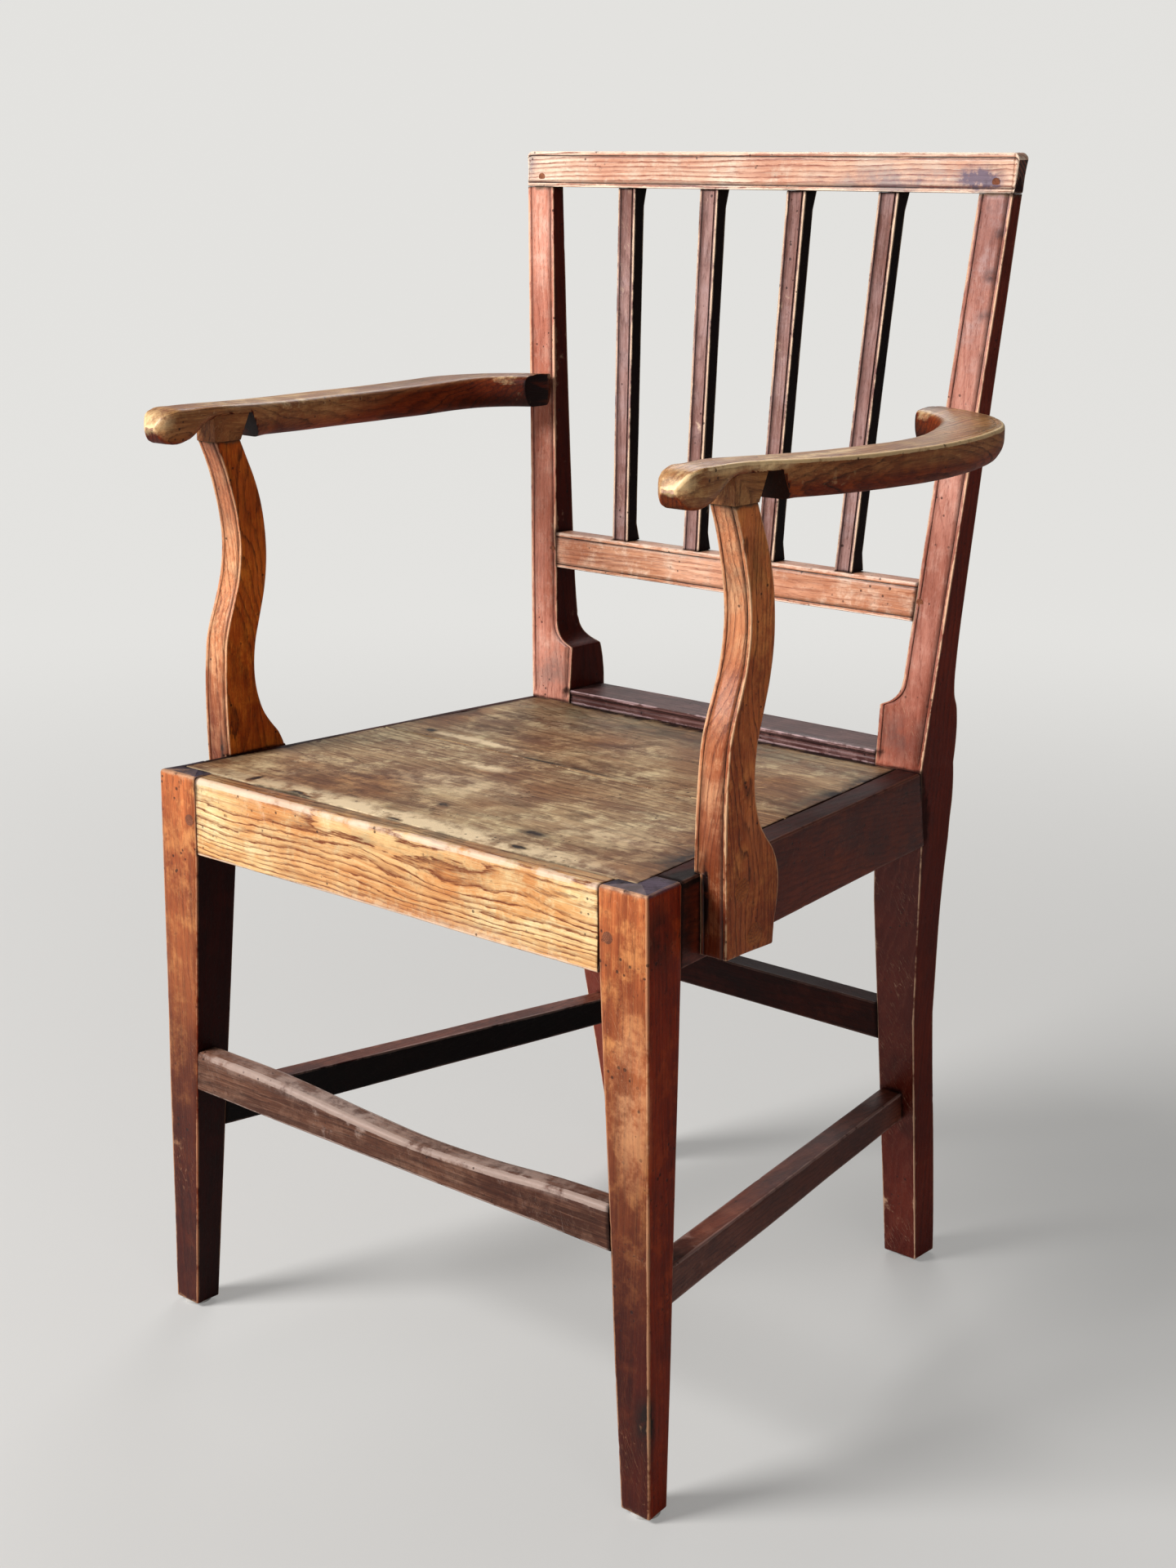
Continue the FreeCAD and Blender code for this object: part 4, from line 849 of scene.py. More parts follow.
# The near back post: its own tones, a painted sky reflection high up and painted shade below the seat
finishes["postNear"] = ("back_wood", dict(
    finishes["post"][1], deep=paint(190, 122, 102), body=paint(222, 156, 136), light=paint(238, 188, 170),
    skySheenTint=(0.70, 0.92, paint(216, 232, 252)),
    lowShade=[(0.38, 0.58, paint(206, 148, 118)), (0.37, 0.46, paint(156, 110, 100))]))
looks = {title: (makeWood(title + "Wood", finish), slot) for title, (slot, finish) in finishes.items()}
iron = makePlain("oldIron", {"body": paint(74, 62, 56), "deep": paint(96, 60, 42),
                             "light": paint(150, 140, 132), "dirtAndShade": paint(30, 22, 20), "rough": 0.6,
                             "metal": 0.7, "nicks": 0.6})
white = makePlain("glideWhite", {"body": paint(206, 204, 200), "deep": paint(188, 184, 178),
                                 "light": paint(226, 224, 220), "dirtAndShade": paint(120, 110, 100),
                                 "rough": 0.5, "metal": 0.0, "nicks": 0.3})
print("looks made")


# Front legs

def cornerLines(columns):
    # Each column: x, depth and height along one corner of the piece
    return np.stack([np.stack(np.broadcast_arrays(*column), -1) for column in columns], 1)


def upright(columns, heights):
    return cornerLines([(x, depth, heights) for x, depth in columns])


def boardRoom(sign):
    margin = chair["boardMargins"][0 if sign > 0 else 1] - 0.3
    front = chair["boardFront"] - 0.3
    rear = leg["depth"] + 8
    outline = [(sign * (sideFace(front) - margin), front), (sign * (sideFace(rear) - margin), rear),
               (sign * 190, rear), (sign * 190, front)]
    return prism(outline, chair["seatHeight"] - chair["boardThick"], chair["seatHeight"] + 5, "z")


for side, sign in sides.items():
    heights, inset = stationsAlong(0, chair["seatHeight"], 4.5, [(railFoot - 3, railFoot + 4, 1.5)], (1.0, 2.6))
    outer = legOuter(heights)
    inner = legInner(heights)
    depth = legDepth(heights)
    rearOuter = outer - (sideFace(0) - sideFace(depth))
    corners = upright([(sign * outer, 0), (sign * inner, 0), (sign * inner, depth), (sign * rearOuter, depth)],
                      heights)
    # The dark mark high on the outer side is dirt and painted shade in the slot beside the arm support; the
    # pale one along the top front edge is wear and a painted highlight
    marks = [((sign * 244, 26, 414), (4, 26, 34), 1.3), ((sign * 222, 0, 444), (26, 2.5, 3), -0.9)]
    if sign > 0:
        marks += [((247, 0, 70), (12, 8, 26), 0.9), ((230, 0, 300), (16, 6, 60), -0.25)]
    piece = barPiece("frontLeg" + side.capitalize(), ["front_leg_" + side], corners, inset,
                     [1.6, 1.3, 1.3, 1.6], [plainSide(7)] * 4, "leg", {"rub": 0.7, "chip": 1.5, "uneven": 0.4},
                     11 + sign, ("z", (sign * 228 - 60, 95), 0.02 * sign), True, marks=marks,
                     shades=[0.0, 2.0, 0.8, 0.95], capRings=(1.0, 0.85))
    carve(piece, [boardRoom(sign)])
print("front legs")


# Back posts

for side, sign in sides.items():
    close = [(441, 447, 1.0), (486, 522, 1.6)]
    heights, inset = stationsAlong(0, crestFoot, 4.5, close, (1.0, 0.2))
    front = postFront(heights)
    rear = front + curveThrough(post["thick"], heights)
    outer = postOuter(heights)
    inner = postInner(heights)
    corners = upright([(sign * outer, front), (sign * inner, front), (sign * inner, rear),
                       (sign * outer, rear)], heights)
    beads = beadMarks("start", 2.5, 1.0, 0.95, 1.2) + beadMarks("end", 2.5, 1.0, 0.95, 0.9) + middleMarks(5)
    marks = [((sign * 205, 384, 722), (16, 12, 16), 0.8), ((sign * 178, 380, 468), (22, 10, 18), 0.4)]
    if sign > 0:
        marks += [((225, 409, 841), (6, 6, 5), 0.9), ((222, 405, 813), (6, 6, 5), 0.9),
                  ((220, 402, 785), (6, 6, 5), 0.7), ((215, 411, 866), (16, 6, 8), 0.5)]
    barPiece("backPost" + side.capitalize(), ["back_post_" + side], corners, inset, [0.8, 0.8, 1.4, 1.4],
             [beads, plainSide(7), plainSide(5), plainSide(7)], "postNear" if sign > 0 else "post",
             {"rub": 0.35, "chip": 0.9, "uneven": 0.35}, 21 + sign, ("z", (sign * 200 - 80, 330), 0.05 * sign),
             True, sinkScale=np.clip((heights - 447) / 3, 0, 1), marks=marks, shades=[0.0, 1.6, 0.5, 0.95])
print("back posts")


# Crest rail

def lying(columns, shares):
    return cornerLines([(shares * reach, depth, height) for reach, depth, height in columns])


crest = {"thick": 17.5, "endThick": 13.5, "taper": 55.0}
half = float(postOuter(chair["height"]))
places, inset = stationsAlong(-half, half, 4.0, [(half - 6, half - 1, 0.45), (1 - half, 6 - half, 0.45),
                                                 (half - 58, half - 50, 2), (50 - half, 58 - half, 2)],
                              (1.3, 1.3))
thick = np.interp(half - abs(places), [0, crest["taper"]], [crest["endThick"], crest["thick"]])
lowFront, highFront = float(postFront(crestFoot)), float(postFront(chair["height"]))
corners = lying([(half, highFront, chair["height"]), (float(postOuter(crestFoot)), lowFront, crestFoot),
                 (float(postOuter(crestFoot)), lowFront + thick, crestFoot),
                 (half, highFront + thick, chair["height"])], places / half)


def crestEndBeads(rings):
    # The posts' outer beads run on up the ends of the crest
    fromEnd = half - abs(rings[..., 0])
    front = rings[..., 1] < postFront(rings[..., 2]) + 2.5
    groove = np.exp(-((fromEnd - 3.6) / 0.55) ** 2) * front
    rings = rings.copy()
    rings[..., 1] += groove * 0.9
    up = np.clip((rings[..., 2] - crestFoot) / chair["crestHeight"], 0, 1)
    rings[..., 2] -= 3.6 * np.clip(1 - fromEnd / 5, 0, 1) ** 2 * up ** 3
    return rings


frontSide = beadMarks("start", 2.2, 1.0, 0.9) + middleMarks(8, 0.25) + beadMarks("end", 2.4, 1.1, 1.0)
barPiece("crestRail", ["crest_rail"], corners, inset, [1.0, 0.8, 1.3, 1.6],
         [frontSide, plainSide(5), plainSide(8), plainSide(5)], "crest",
         {"rub": 0.4, "chip": 0.9, "uneven": 0.3}, 31,
         ("x", (760, 330), 0.012), True, sink=crestEndBeads, shades=[0.0, 1.4, 0.4, 0.2],
         marks=[((206, 410, 882), (17, 12, 10), 1.3), ((221, 410, 880), (8, 12, 8), 0.7),
                ((140, 410, 878), (80, 12, 14), 0.45), ((-232, 410, 888), (8, 12, 16), 0.4),
                ((-60, 410, 872), (60, 8, 4), 0.3)])


# Lower back rail

def frontOf(height):
    return float(postFront(height))


def acrossPosts(low, high, thick, step):
    # A rail shouldered between the posts; its corners are top front, bottom front, bottom back and top back
    reach = float(postInner(high))
    lowReach = float(postInner(low))
    places, inset = stationsAlong(-reach, reach, step)
    columns = [(reach, frontOf(high), high), (lowReach, frontOf(low), low),
               (lowReach, frontOf(low) + thick, low),
               (reach, frontOf(high) + thick, high)]
    return inset, lying(columns, places / reach)


inset, corners = acrossPosts(midFoot, midTop, chair["midThick"], 4.0)
frontSide = beadMarks("start", 2.6, 1.1, 1.0) + middleMarks(8, 0.1) + beadMarks("end", 2.0, 1.0, 0.9)
barPiece("midRail", ["mid_rail"], corners, inset, [0.9, 0.8, 1.2, 1.4],
         [frontSide, plainSide(4), plainSide(8), plainSide(5)], "midRail",
         {"rub": 0.6, "chip": 1.0, "uneven": 0.3}, 41,
         ("x", (505, 340), 0.02), shades=[0.0, 1.4, 0.4, 0.3])
print("crest and lower rail")


# Sticks: one carved stick, set out in a row by a node tree

def addSocket(tree, title, kind, value=None):
    socket = tree.interface.new_socket(title, in_out="INPUT", socket_type=kind)
    if value is not None:
        socket.default_value = value


def newNodes(name, inputs):
    tree = bpy.data.node_groups.new(name, "GeometryNodeTree")
    addSocket(tree, "Geometry", "NodeSocketGeometry")
    for title, kind, value in inputs:
        addSocket(tree, title, kind, value)
    tree.interface.new_socket("Geometry", in_out="OUTPUT", socket_type="NodeSocketGeometry")
    return tree, tree.nodes.new("NodeGroupInput").outputs, tree.nodes.new("NodeGroupOutput").inputs


def store(tree, geometry, name, value, kind="FLOAT", domain="POINT"):
    node = wire(tree, "GeometryNodeStoreNamedAttribute", {"Geometry": geometry, "Name": name}, data_type=kind,
                domain=domain)
    tree.links.new(value, next(socket for socket in node.inputs if socket.name == "Value" and socket.enabled))
    return node.outputs[0]


def read(tree, name, kind="FLOAT"):
    node = wire(tree, "GeometryNodeInputNamedAttribute", {"Name": name}, data_type=kind)
    return next(socket for socket in node.outputs if socket.name == "Attribute" and socket.enabled)


def luckOf(tree, seed, low, high):
    node = wire(tree, "FunctionNodeRandomValue", {"Seed": seed}, data_type="FLOAT_VECTOR")
    node.inputs[0].default_value = low
    node.inputs[1].default_value = high
    return node.outputs[0]


def makeRowTree():
    tree, given, out = newNodes("stickRow", [
        ("Count", "NodeSocketInt", 4), ("Low Pitch", "NodeSocketFloat", 0.06),
        ("High Pitch", "NodeSocketFloat", 0.08),
        ("Low", "NodeSocketFloat", 0.5), ("High", "NodeSocketFloat", 0.9), ("Hand", "NodeSocketFloat", 0.0003),
        ("Seed", "NodeSocketInt", 1), ("Material", "NodeSocketMaterial", None)])
    line = put(tree, "GeometryNodeMeshLine", {"Count": given["Count"], "Offset": (0, 0, 0)})
    row = put(tree, "GeometryNodeInstanceOnPoints", {"Points": line, "Instance": given["Geometry"]})
    index = tree.nodes.new("GeometryNodeInputIndex").outputs[0]
    middle = times(tree, minus(tree, given["Count"], 1), 0.5)
    row = store(tree, row, "place", minus(tree, index, middle), domain="INSTANCE")
    shift = luckOf(tree, given["Seed"], (-0.2, -0.1, -0.5), (0.2, 0.1, 0.5))
    row = store(tree, row, "shift", shift, "FLOAT_VECTOR", "INSTANCE")
    row = put(tree, "GeometryNodeRealizeInstances", {"Geometry": row})
    place = tree.nodes.new("GeometryNodeInputPosition").outputs[0]
    parts = wire(tree, "ShaderNodeSeparateXYZ", {0: place}).outputs
    pitch = put(tree, "ShaderNodeMapRange", {
        0: parts[2], 1: given["Low"], 2: given["High"], 3: given["Low Pitch"], 4: given["High Pitch"]},
                clamp=True)
    across = times(tree, pitch, read(tree, "place"))
    shift = read(tree, "shift", "FLOAT_VECTOR")
    where = put(tree, "ShaderNodeVectorMath", {0: place, 1: shift}, operation="ADD")
    rough = minus(tree, cloud(tree, where, 60.0, 2.0), 1.0)
    normal = tree.nodes.new("GeometryNodeInputNormal").outputs[0]
    amount = times(tree, rough, given["Hand"])
    push = put(tree, "ShaderNodeVectorMath", {0: normal, "Scale": amount}, operation="SCALE")
    aside = put(tree, "ShaderNodeCombineXYZ", {0: across})
    offset = put(tree, "ShaderNodeVectorMath", {0: aside, 1: push}, operation="ADD")
    row = put(tree, "GeometryNodeSetPosition", {"Geometry": row, "Offset": offset})
    grain = read(tree, "grain", "FLOAT_VECTOR")
    grain = put(tree, "ShaderNodeVectorMath", {0: grain, 1: shift}, operation="ADD")
    row = store(tree, row, "grain", grain, "FLOAT_VECTOR")
    row = put(tree, "GeometryNodeSetMaterial", {"Geometry": row, "Material": given["Material"]})
    tree.links.new(row, out[0])
    return tree


def makePinTree():
    # A head on a shank, stood at every point and turned to face the way the point says
    tree, given, out = newNodes("pins", [
        ("Head Radius", "NodeSocketFloat", 0.004), ("Head Height", "NodeSocketFloat", 0.01),
        ("Shank Radius", "NodeSocketFloat", 0.001), ("Shank Length", "NodeSocketFloat", 0.01),
        ("Dome", "NodeSocketFloat", 0.0003), ("Seed", "NodeSocketInt", 1),
        ("Material", "NodeSocketMaterial", None)])

    def rod(radius, length, top):
        tube = put(tree, "GeometryNodeMeshCylinder", {
            "Vertices": 32, "Side Segments": 4, "Fill Segments": 6, "Radius": radius, "Depth": length})
        drop = minus(tree, top, times(tree, length, 0.5))
        lower = put(tree, "ShaderNodeCombineXYZ", {2: drop})
        return put(tree, "GeometryNodeTransform", {"Geometry": tube, "Translation": lower})

    head = rod(given["Head Radius"], given["Head Height"], 0.0)
    place = tree.nodes.new("GeometryNodeInputPosition").outputs[0]
    parts = wire(tree, "ShaderNodeSeparateXYZ", {0: place}).outputs
    flat = put(tree, "ShaderNodeCombineXYZ", {0: parts[0], 1: parts[1]})
    away = wire(tree, "ShaderNodeVectorMath", {0: flat}, operation="LENGTH").outputs["Value"]
    share = calc(tree, "DIVIDE", away, given["Head Radius"])
    onTop = calc(tree, "GREATER_THAN", parts[2], -0.00002)
    sinkBy = times(tree, calc(tree, "POWER", share, 3.0), times(tree, given["Dome"], -1.0))
    dome = put(tree, "ShaderNodeCombineXYZ", {2: times(tree, sinkBy, onTop)})
    head = put(tree, "GeometryNodeSetPosition", {"Geometry": head, "Offset": dome})
    # Painted shadow: a dark crescent on one side of the head's rim, stored with the dirt and painted shade
    # layer
    side = calc(tree, "DIVIDE", parts[0], given["Head Radius"])
    crescentShadow = times(tree, spread(tree, share, 0.62, 0.9), spread(tree, side, -0.3, 0.5, 0.35, 1.0))
    head = store(tree, head, "dirtAndShade", times(tree, crescentShadow, onTop))
    below = times(tree, given["Head Height"], -1.0)
    shank = rod(given["Shank Radius"], given["Shank Length"], below)
    pin = put(tree, "GeometryNodeJoinGeometry")
    for part in (shank, head):
        tree.links.new(part, pin.node.inputs[0])
    pin = store(tree, pin, "grain", place, "FLOAT_VECTOR")
    facing = read(tree, "facing", "FLOAT_VECTOR")
    turn = put(tree, "FunctionNodeAlignRotationToVector", {"Vector": facing}, axis="Z")
    spin = wire(tree, "FunctionNodeRandomValue", {2: 0.0, 3: 6.28, "Seed": given["Seed"]},
                data_type="FLOAT").outputs[1]
    local = put(tree, "FunctionNodeAxisAngleToRotation", {"Axis": (0, 0, 1), "Angle": spin})
    turn = put(tree, "FunctionNodeRotateRotation", {0: turn, 1: local}, rotation_space="LOCAL")
    stood = put(tree, "GeometryNodeInstanceOnPoints", {
        "Points": given["Geometry"], "Instance": pin, "Rotation": turn})
    shift = luckOf(tree, given["Seed"], (0.002, 0.001, -0.1), (0.02, 0.006, 0.1))
    stood = store(tree, stood, "shift", shift, "FLOAT_VECTOR", "INSTANCE")
    stood = put(tree, "GeometryNodeRealizeInstances", {"Geometry": stood})
    grain, shift = read(tree, "grain", "FLOAT_VECTOR"), read(tree, "shift", "FLOAT_VECTOR")
    grain = put(tree, "ShaderNodeVectorMath", {0: grain, 1: shift}, operation="ADD")
    stood = store(tree, stood, "grain", grain, "FLOAT_VECTOR")
    stood = put(tree, "GeometryNodeSetMaterial", {"Geometry": stood, "Material": given["Material"]})
    tree.links.new(stood, out[0])
    return tree


def grow(name, base, tree, values):
    # Runs a node tree over a base mesh and keeps the plain mesh that comes out
    piece = bpy.data.objects.new(name, base)
    bpy.context.scene.collection.objects.link(piece)
    modifier = piece.modifiers.new("nodes", "NODES")
    modifier.node_group = tree
    for item in tree.interface.items_tree:
        if item.in_out == "INPUT" and item.name in values:
            modifier[item.identifier] = values[item.name]
    bpy.context.view_layer.update()
    result = bpy.data.meshes.new_from_object(piece.evaluated_get(bpy.context.evaluated_depsgraph_get()))
    piece.modifiers.clear()
    piece.data = result
    result.name = name
    result.materials.clear()
    result.materials.append(values["Material"])
    for polygon in result.polygons:
        polygon.material_index = 0
    result.shade_smooth()
    result.set_sharp_from_angle(angle=math.radians(40))
    return piece


stick = {"count": 4, "share": 0.206, "top": 18.5, "bottom": 17.0, "setback": 1.5, "depth": 12.5,
         "topDepth": 15.5, "bottomDepth": 16.5, "flare": 14.0, "hollow": 0.7}
close = [(midTop, midTop + 16, 1.6), (crestFoot - 16, crestFoot, 1.6)]
heights, inset = stationsAlong(midTop, crestFoot, 4.0, close)
share = (heights - midTop) / (crestFoot - midTop)
halfWidth = between(stick["bottom"], stick["top"], share) / 2
front = postFront(heights) + stick["setback"]
rear = np.interp(heights, [midTop, midTop + stick["flare"], crestFoot - stick["flare"], crestFoot],
                 [stick["bottomDepth"], stick["depth"], stick["depth"], stick["topDepth"]])
rear = postFront(heights) + stick["setback"] + rear
corners = upright([(halfWidth, front), (-halfWidth, front), (-halfWidth, rear), (halfWidth, rear)], heights)
fluteSide = beadMarks("start", 2.3, 0.9, 0.8, 1.5) + beadMarks("end", 1.9, 0.9, 0.8, 1.2)
fluteSide += middleMarks(7, 0.9, stick["hollow"])
# The sides of the sticks get painted shade
rings, edges, shadeValues, lines = ringsOf(corners, [0.7, 0.7, 1.3, 1.3],
                                     [fluteSide, plainSide(4), plainSide(4), plainSide(4)],
                                     None, [0.25, 1.2, 0.4, 1.6])
rings = wearDown(rings, edges, inset, {"rub": 0.25, "chip": 0.6, "uneven": 0.2}, 51)
points, faces, source = loftFaces(rings)
base = bpy.data.meshes.new("stick")
base.from_pydata(toMetres(points).tolist(), [], faces)
for title, values in (("grain", grainOf(points, "z", (-45, 360), 0.0)), ("edge", edges.ravel()[source]),
                      ("shade", shadeValues.ravel()[source]), ("line", lines.ravel()[source])):
    writeLayer(base, title, values)
rowTree = makeRowTree()
pinTree = makePinTree()
material, slot = looks["stick"]
sticks = grow("backSticks", base, rowTree, {
    "Count": stick["count"], "Low Pitch": 2 * float(postInner(midTop)) * stick["share"] / 1000,
    "High Pitch": 2 * float(postInner(crestFoot)) * stick["share"] / 1000,
    "Low": (midTop + chair["glide"]) / 1000,
    "High": (crestFoot + chair["glide"]) / 1000, "Hand": 0.0002, "Seed": 7, "Material": material})
stickNodes = ["back_stick_%d" % (i + 1) for i in range(stick["count"])]
writeLayer(sticks.data, "dirtAndShade", dirtAndShadeNear(pointsOf(sticks.data), stickNodes))
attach(sticks, "root")
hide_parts(*stickNodes)
print("sticks")


# Seat rails

top, ledge = chair["seatHeight"], chair["seatHeight"] - chair["boardThick"]
reach = chair["seatFront"] / 2 - leg["width"]
rail = {"front": 30.0, "side": 32.0, "rise": 10.9, "setback": 43.0}
rebate = chair["boardFront"] - 0.3
places, inset = stationsAlong(-reach, reach, 3.0)
corners = lying([(reach, 0, top), (reach, 0, railFoot), (reach, rail["front"], railFoot),
                 (reach, rail["front"], ledge), (reach, rebate, ledge), (reach, rebate, top)], places / reach)
barPiece("frontSeatRail", ["front_seat_rail"], corners, inset, [4.0, 1.5, 1.2, 0.6, 0.4, 0.6],
         [plainSide(13), plainSide(5), plainSide(5), plainSide(2), plainSide(2), plainSide(4)], "frontRail",
         {"rub": 0.9, "chip": 1.6, "uneven": 0.5, "ripple": 0.1}, 61, ("x", (430, 20), -0.02),
         shades=[0.0, 1.0, 1.2, 1.0, 1.0, 0.5],
         knots=[((60, 0, 412), (34, 40, 9), 6.0), ((130, 0, 424), (26, 40, 8), -5.0),
                ((-40, 0, 420), (40, 40, 9), -4.0),
                ((-150, 0, 405), (50, 40, 12), 4.0)],
         marks=[((-70, 0, 441), (180, 6, 3), -0.5), ((60, 0, 385), (160, 4, 4), -0.3),
                ((0, 12, 443), (220, 8, 2), 0.3), ((20, 0, 432), (60, 5, 6), 0.3)])
for side, sign in sides.items():
    margin = chair["boardMargins"][0 if sign > 0 else 1] - 0.3
    shares, inset = stationsAlong(0, 1, 1 / 84, (), (0.0008, 0.0008))
    inset = inset * 300
    columns = []
    for setIn, height in ((0, top), (0, railFoot), (rail["side"], railFoot), (rail["side"], ledge),
                          (margin, ledge), (margin, top)):
        depth = between(leg["depth"], float(postFront(height)), shares)
        columns.append((sign * (sideFace(depth) - setIn), depth, height))
    # The dark marks where the rail meets the leg and the arm support are dirt and painted shade
    barPiece("sideSeatRail" + side.capitalize(), ["side_seat_rail_" + side], cornerLines(columns), inset,
             [1.5, 1.3, 1.2, 0.6, 0.4, 0.6],
             [plainSide(9), plainSide(5), plainSide(5), plainSide(2), plainSide(2), plainSide(4)], "sideRail",
             {"rub": 0.6, "chip": 1.2, "uneven": 0.5}, 64 + sign, ("y", (500, 20 * sign), 0.03),
             shades=[0.35, 1.2, 1.6, 0.9, 0.9, 0.9],
             marks=[((sign * 236, 54, 444), (14, 22, 5), 1.8), ((sign * 242, 50, 412), (6, 14, 40), 1.6),
                    ((sign * 241, 90, 384), (6, 60, 8), 0.7)])
reach = chair["seatBack"] / 2 - post["ear"]
places, inset = stationsAlong(-reach, reach, 4.0)
rear = chair["seatDepth"] + rail["setback"]
ledgeTop = top + rail["rise"]
seatBack = chair["seatDepth"]
corners = lying([(reach, seatBack, ledgeTop), (reach, seatBack + 1.5, top),
                 (reach, frontOf(railFoot), railFoot),
                 (reach, rear, railFoot), (reach, rear, ledgeTop)], places / reach)
beadSide = beadMarks("start", 2.8, 1.4, 1.6)
for share, sunk in ((0.1, 1.3), (0.3, 1.2), (0.45, 1.2), (0.55, 0.4), (0.7, 0.3), (0.85, 0.5)):
    beadSide.append(("middle", share, sunk))
barPiece("backSeatRail", ["back_seat_rail"], corners, inset, [1.0, 0.4, 1.3, 1.3, 1.6],
         [beadSide, plainSide(5), plainSide(6), plainSide(8), plainSide(8)], "backRail",
         {"rub": 0.6, "chip": 1.2, "uneven": 0.3}, 67, ("x", (480, 360), 0.02),
         shades=[0.2, 0.8, 0.9, 0.4, 0.4])


# Seat boards

board = {"seam": 208.0, "gap": 0.3}


def seamAt(x):
    return board["seam"] + curveThrough([(-235, 1.0), (-95, 2.2), (-30, 0.4), (37, -3.0), (120, -2.0),
                                         (235, 0.5)], x)


def seatBoard(name, node, front, rear, seed, heart, rubbed, marks):
    shares, inset = stationsAlong(0, 1, 1 / 110, (), (0.0012, 0.0012))
    inset = inset * 500
    columns = []
    for edge, height in ((front, top), (front, ledge), (rear, ledge), (rear, top)):
        x = between(-220, 210, shares)
        depth = edge(x)
        right, left = chair["boardMargins"][1] - sideFace(depth), sideFace(depth) - chair["boardMargins"][0]
        columns.append((between(right, left, shares), depth, height))
    barPiece(name, [node], cornerLines(columns), inset, [1.1, 0.6, 0.6, 1.1],
             [plainSide(3), plainSide(12), plainSide(3), plainSide(46)], "seat",
             {"rub": 0.8, "chip": 1.6, "uneven": 0.9, "ripple": 0.15}, seed, ("x", heart, 0.03), marks=marks,
             rubbed=rubbed, friends=("seat_board_front", "seat_board_back"))


seatBoard("seatBoardFront", "seat_board_front", lambda x: np.full_like(x, chair["boardFront"]),
          lambda x: seamAt(x) - 0.15, 71, (560, 60), [1.0, 0.3, 0.2, 0.2],
          [((-112, 22, 443), (9, 5, 4), 2.4), ((-98, 19, 443), (6, 4, 4), 2.2),
           ((-8, 20, 443), (8, 4, 4), 2.4), ((-8, 72, 443), (5, 4, 4), 2.0),
           ((105, 28, 443), (9, 4, 4), 2.2), ((-166, 30, 443), (3, 8, 4), 2.0),
           ((90, 60, 443), (14, 6, 4), 0.9), ((-30, 40, 443), (12, 6, 4), 0.7),
           ((-228, 110, 443), (12, 90, 4), 0.6), ((208, 110, 443), (16, 90, 4), 0.8),
           ((10, 26, 443), (200, 16, 4), -0.9), ((-40, 120, 443), (60, 26, 4), -0.4),
           ((120, 90, 443), (50, 24, 4), -0.3), ((-60, 170, 443), (26, 9, 4), -0.8)])
# The dark band along the back edge is dirt and painted shade where the board meets the back rail
seatBoard("seatBoardBack", "seat_board_back", seamAt,
          lambda x: np.full_like(x, seatBack - board["gap"]), 72, (610, 300), [0.2, 0.2, 0.3, 0.8],
          [((0, 378, 443), (240, 9, 4), 2.0), ((0, 350, 443), (240, 34, 4), 0.45),
           ((-206, 300, 443), (14, 90, 4), 0.6), ((190, 300, 443), (18, 90, 4), 0.8),
           ((-128, 226, 443), (44, 5, 4), -1.6), ((-150, 245, 443), (20, 4, 4), -0.9),
           ((-20, 212, 443), (60, 2.5, 4), 1.2), ((-175, 226, 443), (8, 5, 4), 1.4)])
print("seat")


# Arm supports

support = {
    "bottom": 387.5, "top": 686.5, "front": 62.5, "foot": 52.5, "out": 25.2, "inset": 1.8, "width": 21.0,
    "frontCurve": [(0.0, 0.0), (0.446, 0.0), (0.48, 0.02), (0.53, 0.095), (0.584, 0.21), (0.637, 0.31),
                   (0.694, 0.37), (0.744, 0.385), (0.795, 0.36), (0.87, 0.27), (0.95, 0.13), (1.0, 0.01)],
    "rearCurve": [(0.0, 1.0), (0.209, 1.0), (0.225, 0.95), (0.25, 0.83), (0.283, 0.695), (0.32, 0.61),
                  (0.37, 0.55), (0.42, 0.545), (0.477, 0.59), (0.543, 0.70), (0.61, 0.81), (0.68, 0.875),
                  (0.77, 0.875), (0.83, 0.83), (0.898, 0.725), (0.96, 0.58), (1.0, 0.486)],
}
supportLine = sideFace(support["front"] + support["foot"] / 2)
supportOuter = supportLine + support["out"]
supportInner = supportLine - support["inset"]
topInner = supportOuter - support["width"]
for side, sign in sides.items():
    low, high = support["bottom"], support["top"]
    heights, inset = stationsAlong(low, high, 3.6, [(443.3, 444.0, 0.3), (low + 58, low + 72, 1.5)],
                                   (1.0, 0.25))
    share = (heights - low) / (high - low)
    front = support["front"] + support["foot"] * curveThrough(support["frontCurve"], share)
    rear = support["front"] + support["foot"] * curveThrough(support["rearCurve"], share)
    inner = between(supportInner, topInner, (heights - top) / (high - top))
    above = heights > top
    columns = [(sign * supportOuter, front), (sign * np.where(above, inner, sideFace(front)), front),
               (sign * np.where(above, inner, sideFace(rear)), rear), (sign * supportOuter, rear)]
    supportFace = beadMarks("start", 2.4, 1.0, 0.9) + middleMarks(5, 0.2) + beadMarks("end", 2.0, 0.9, 0.8)
    # The thin dark mark low at the front is dirt and painted shade in the slot beside the leg
    barPiece("armSupport" + side.capitalize(), ["arm_support_" + side], upright(columns, heights), inset,
             [0.8, 0.8, 1.2, 1.5], [supportFace, plainSide(9), plainSide(5), plainSide(11)], "support",
             {"rub": 0.4, "chip": 1.0, "uneven": 0.35}, 81 + sign, ("z", (sign * 262, 40), 0.10 * sign), True,
             marks=[((sign * 245, 90, 690), (16, 34, 10), 0.5), ((sign * 240, 60, 430), (3, 12, 30), 1.2),
                    ((sign * 250, 86, 650), (16, 12, 30), 0.35)],
             shades=[0.0, 0.9, 0.8, 0.6])
print("arm supports")


# Arms

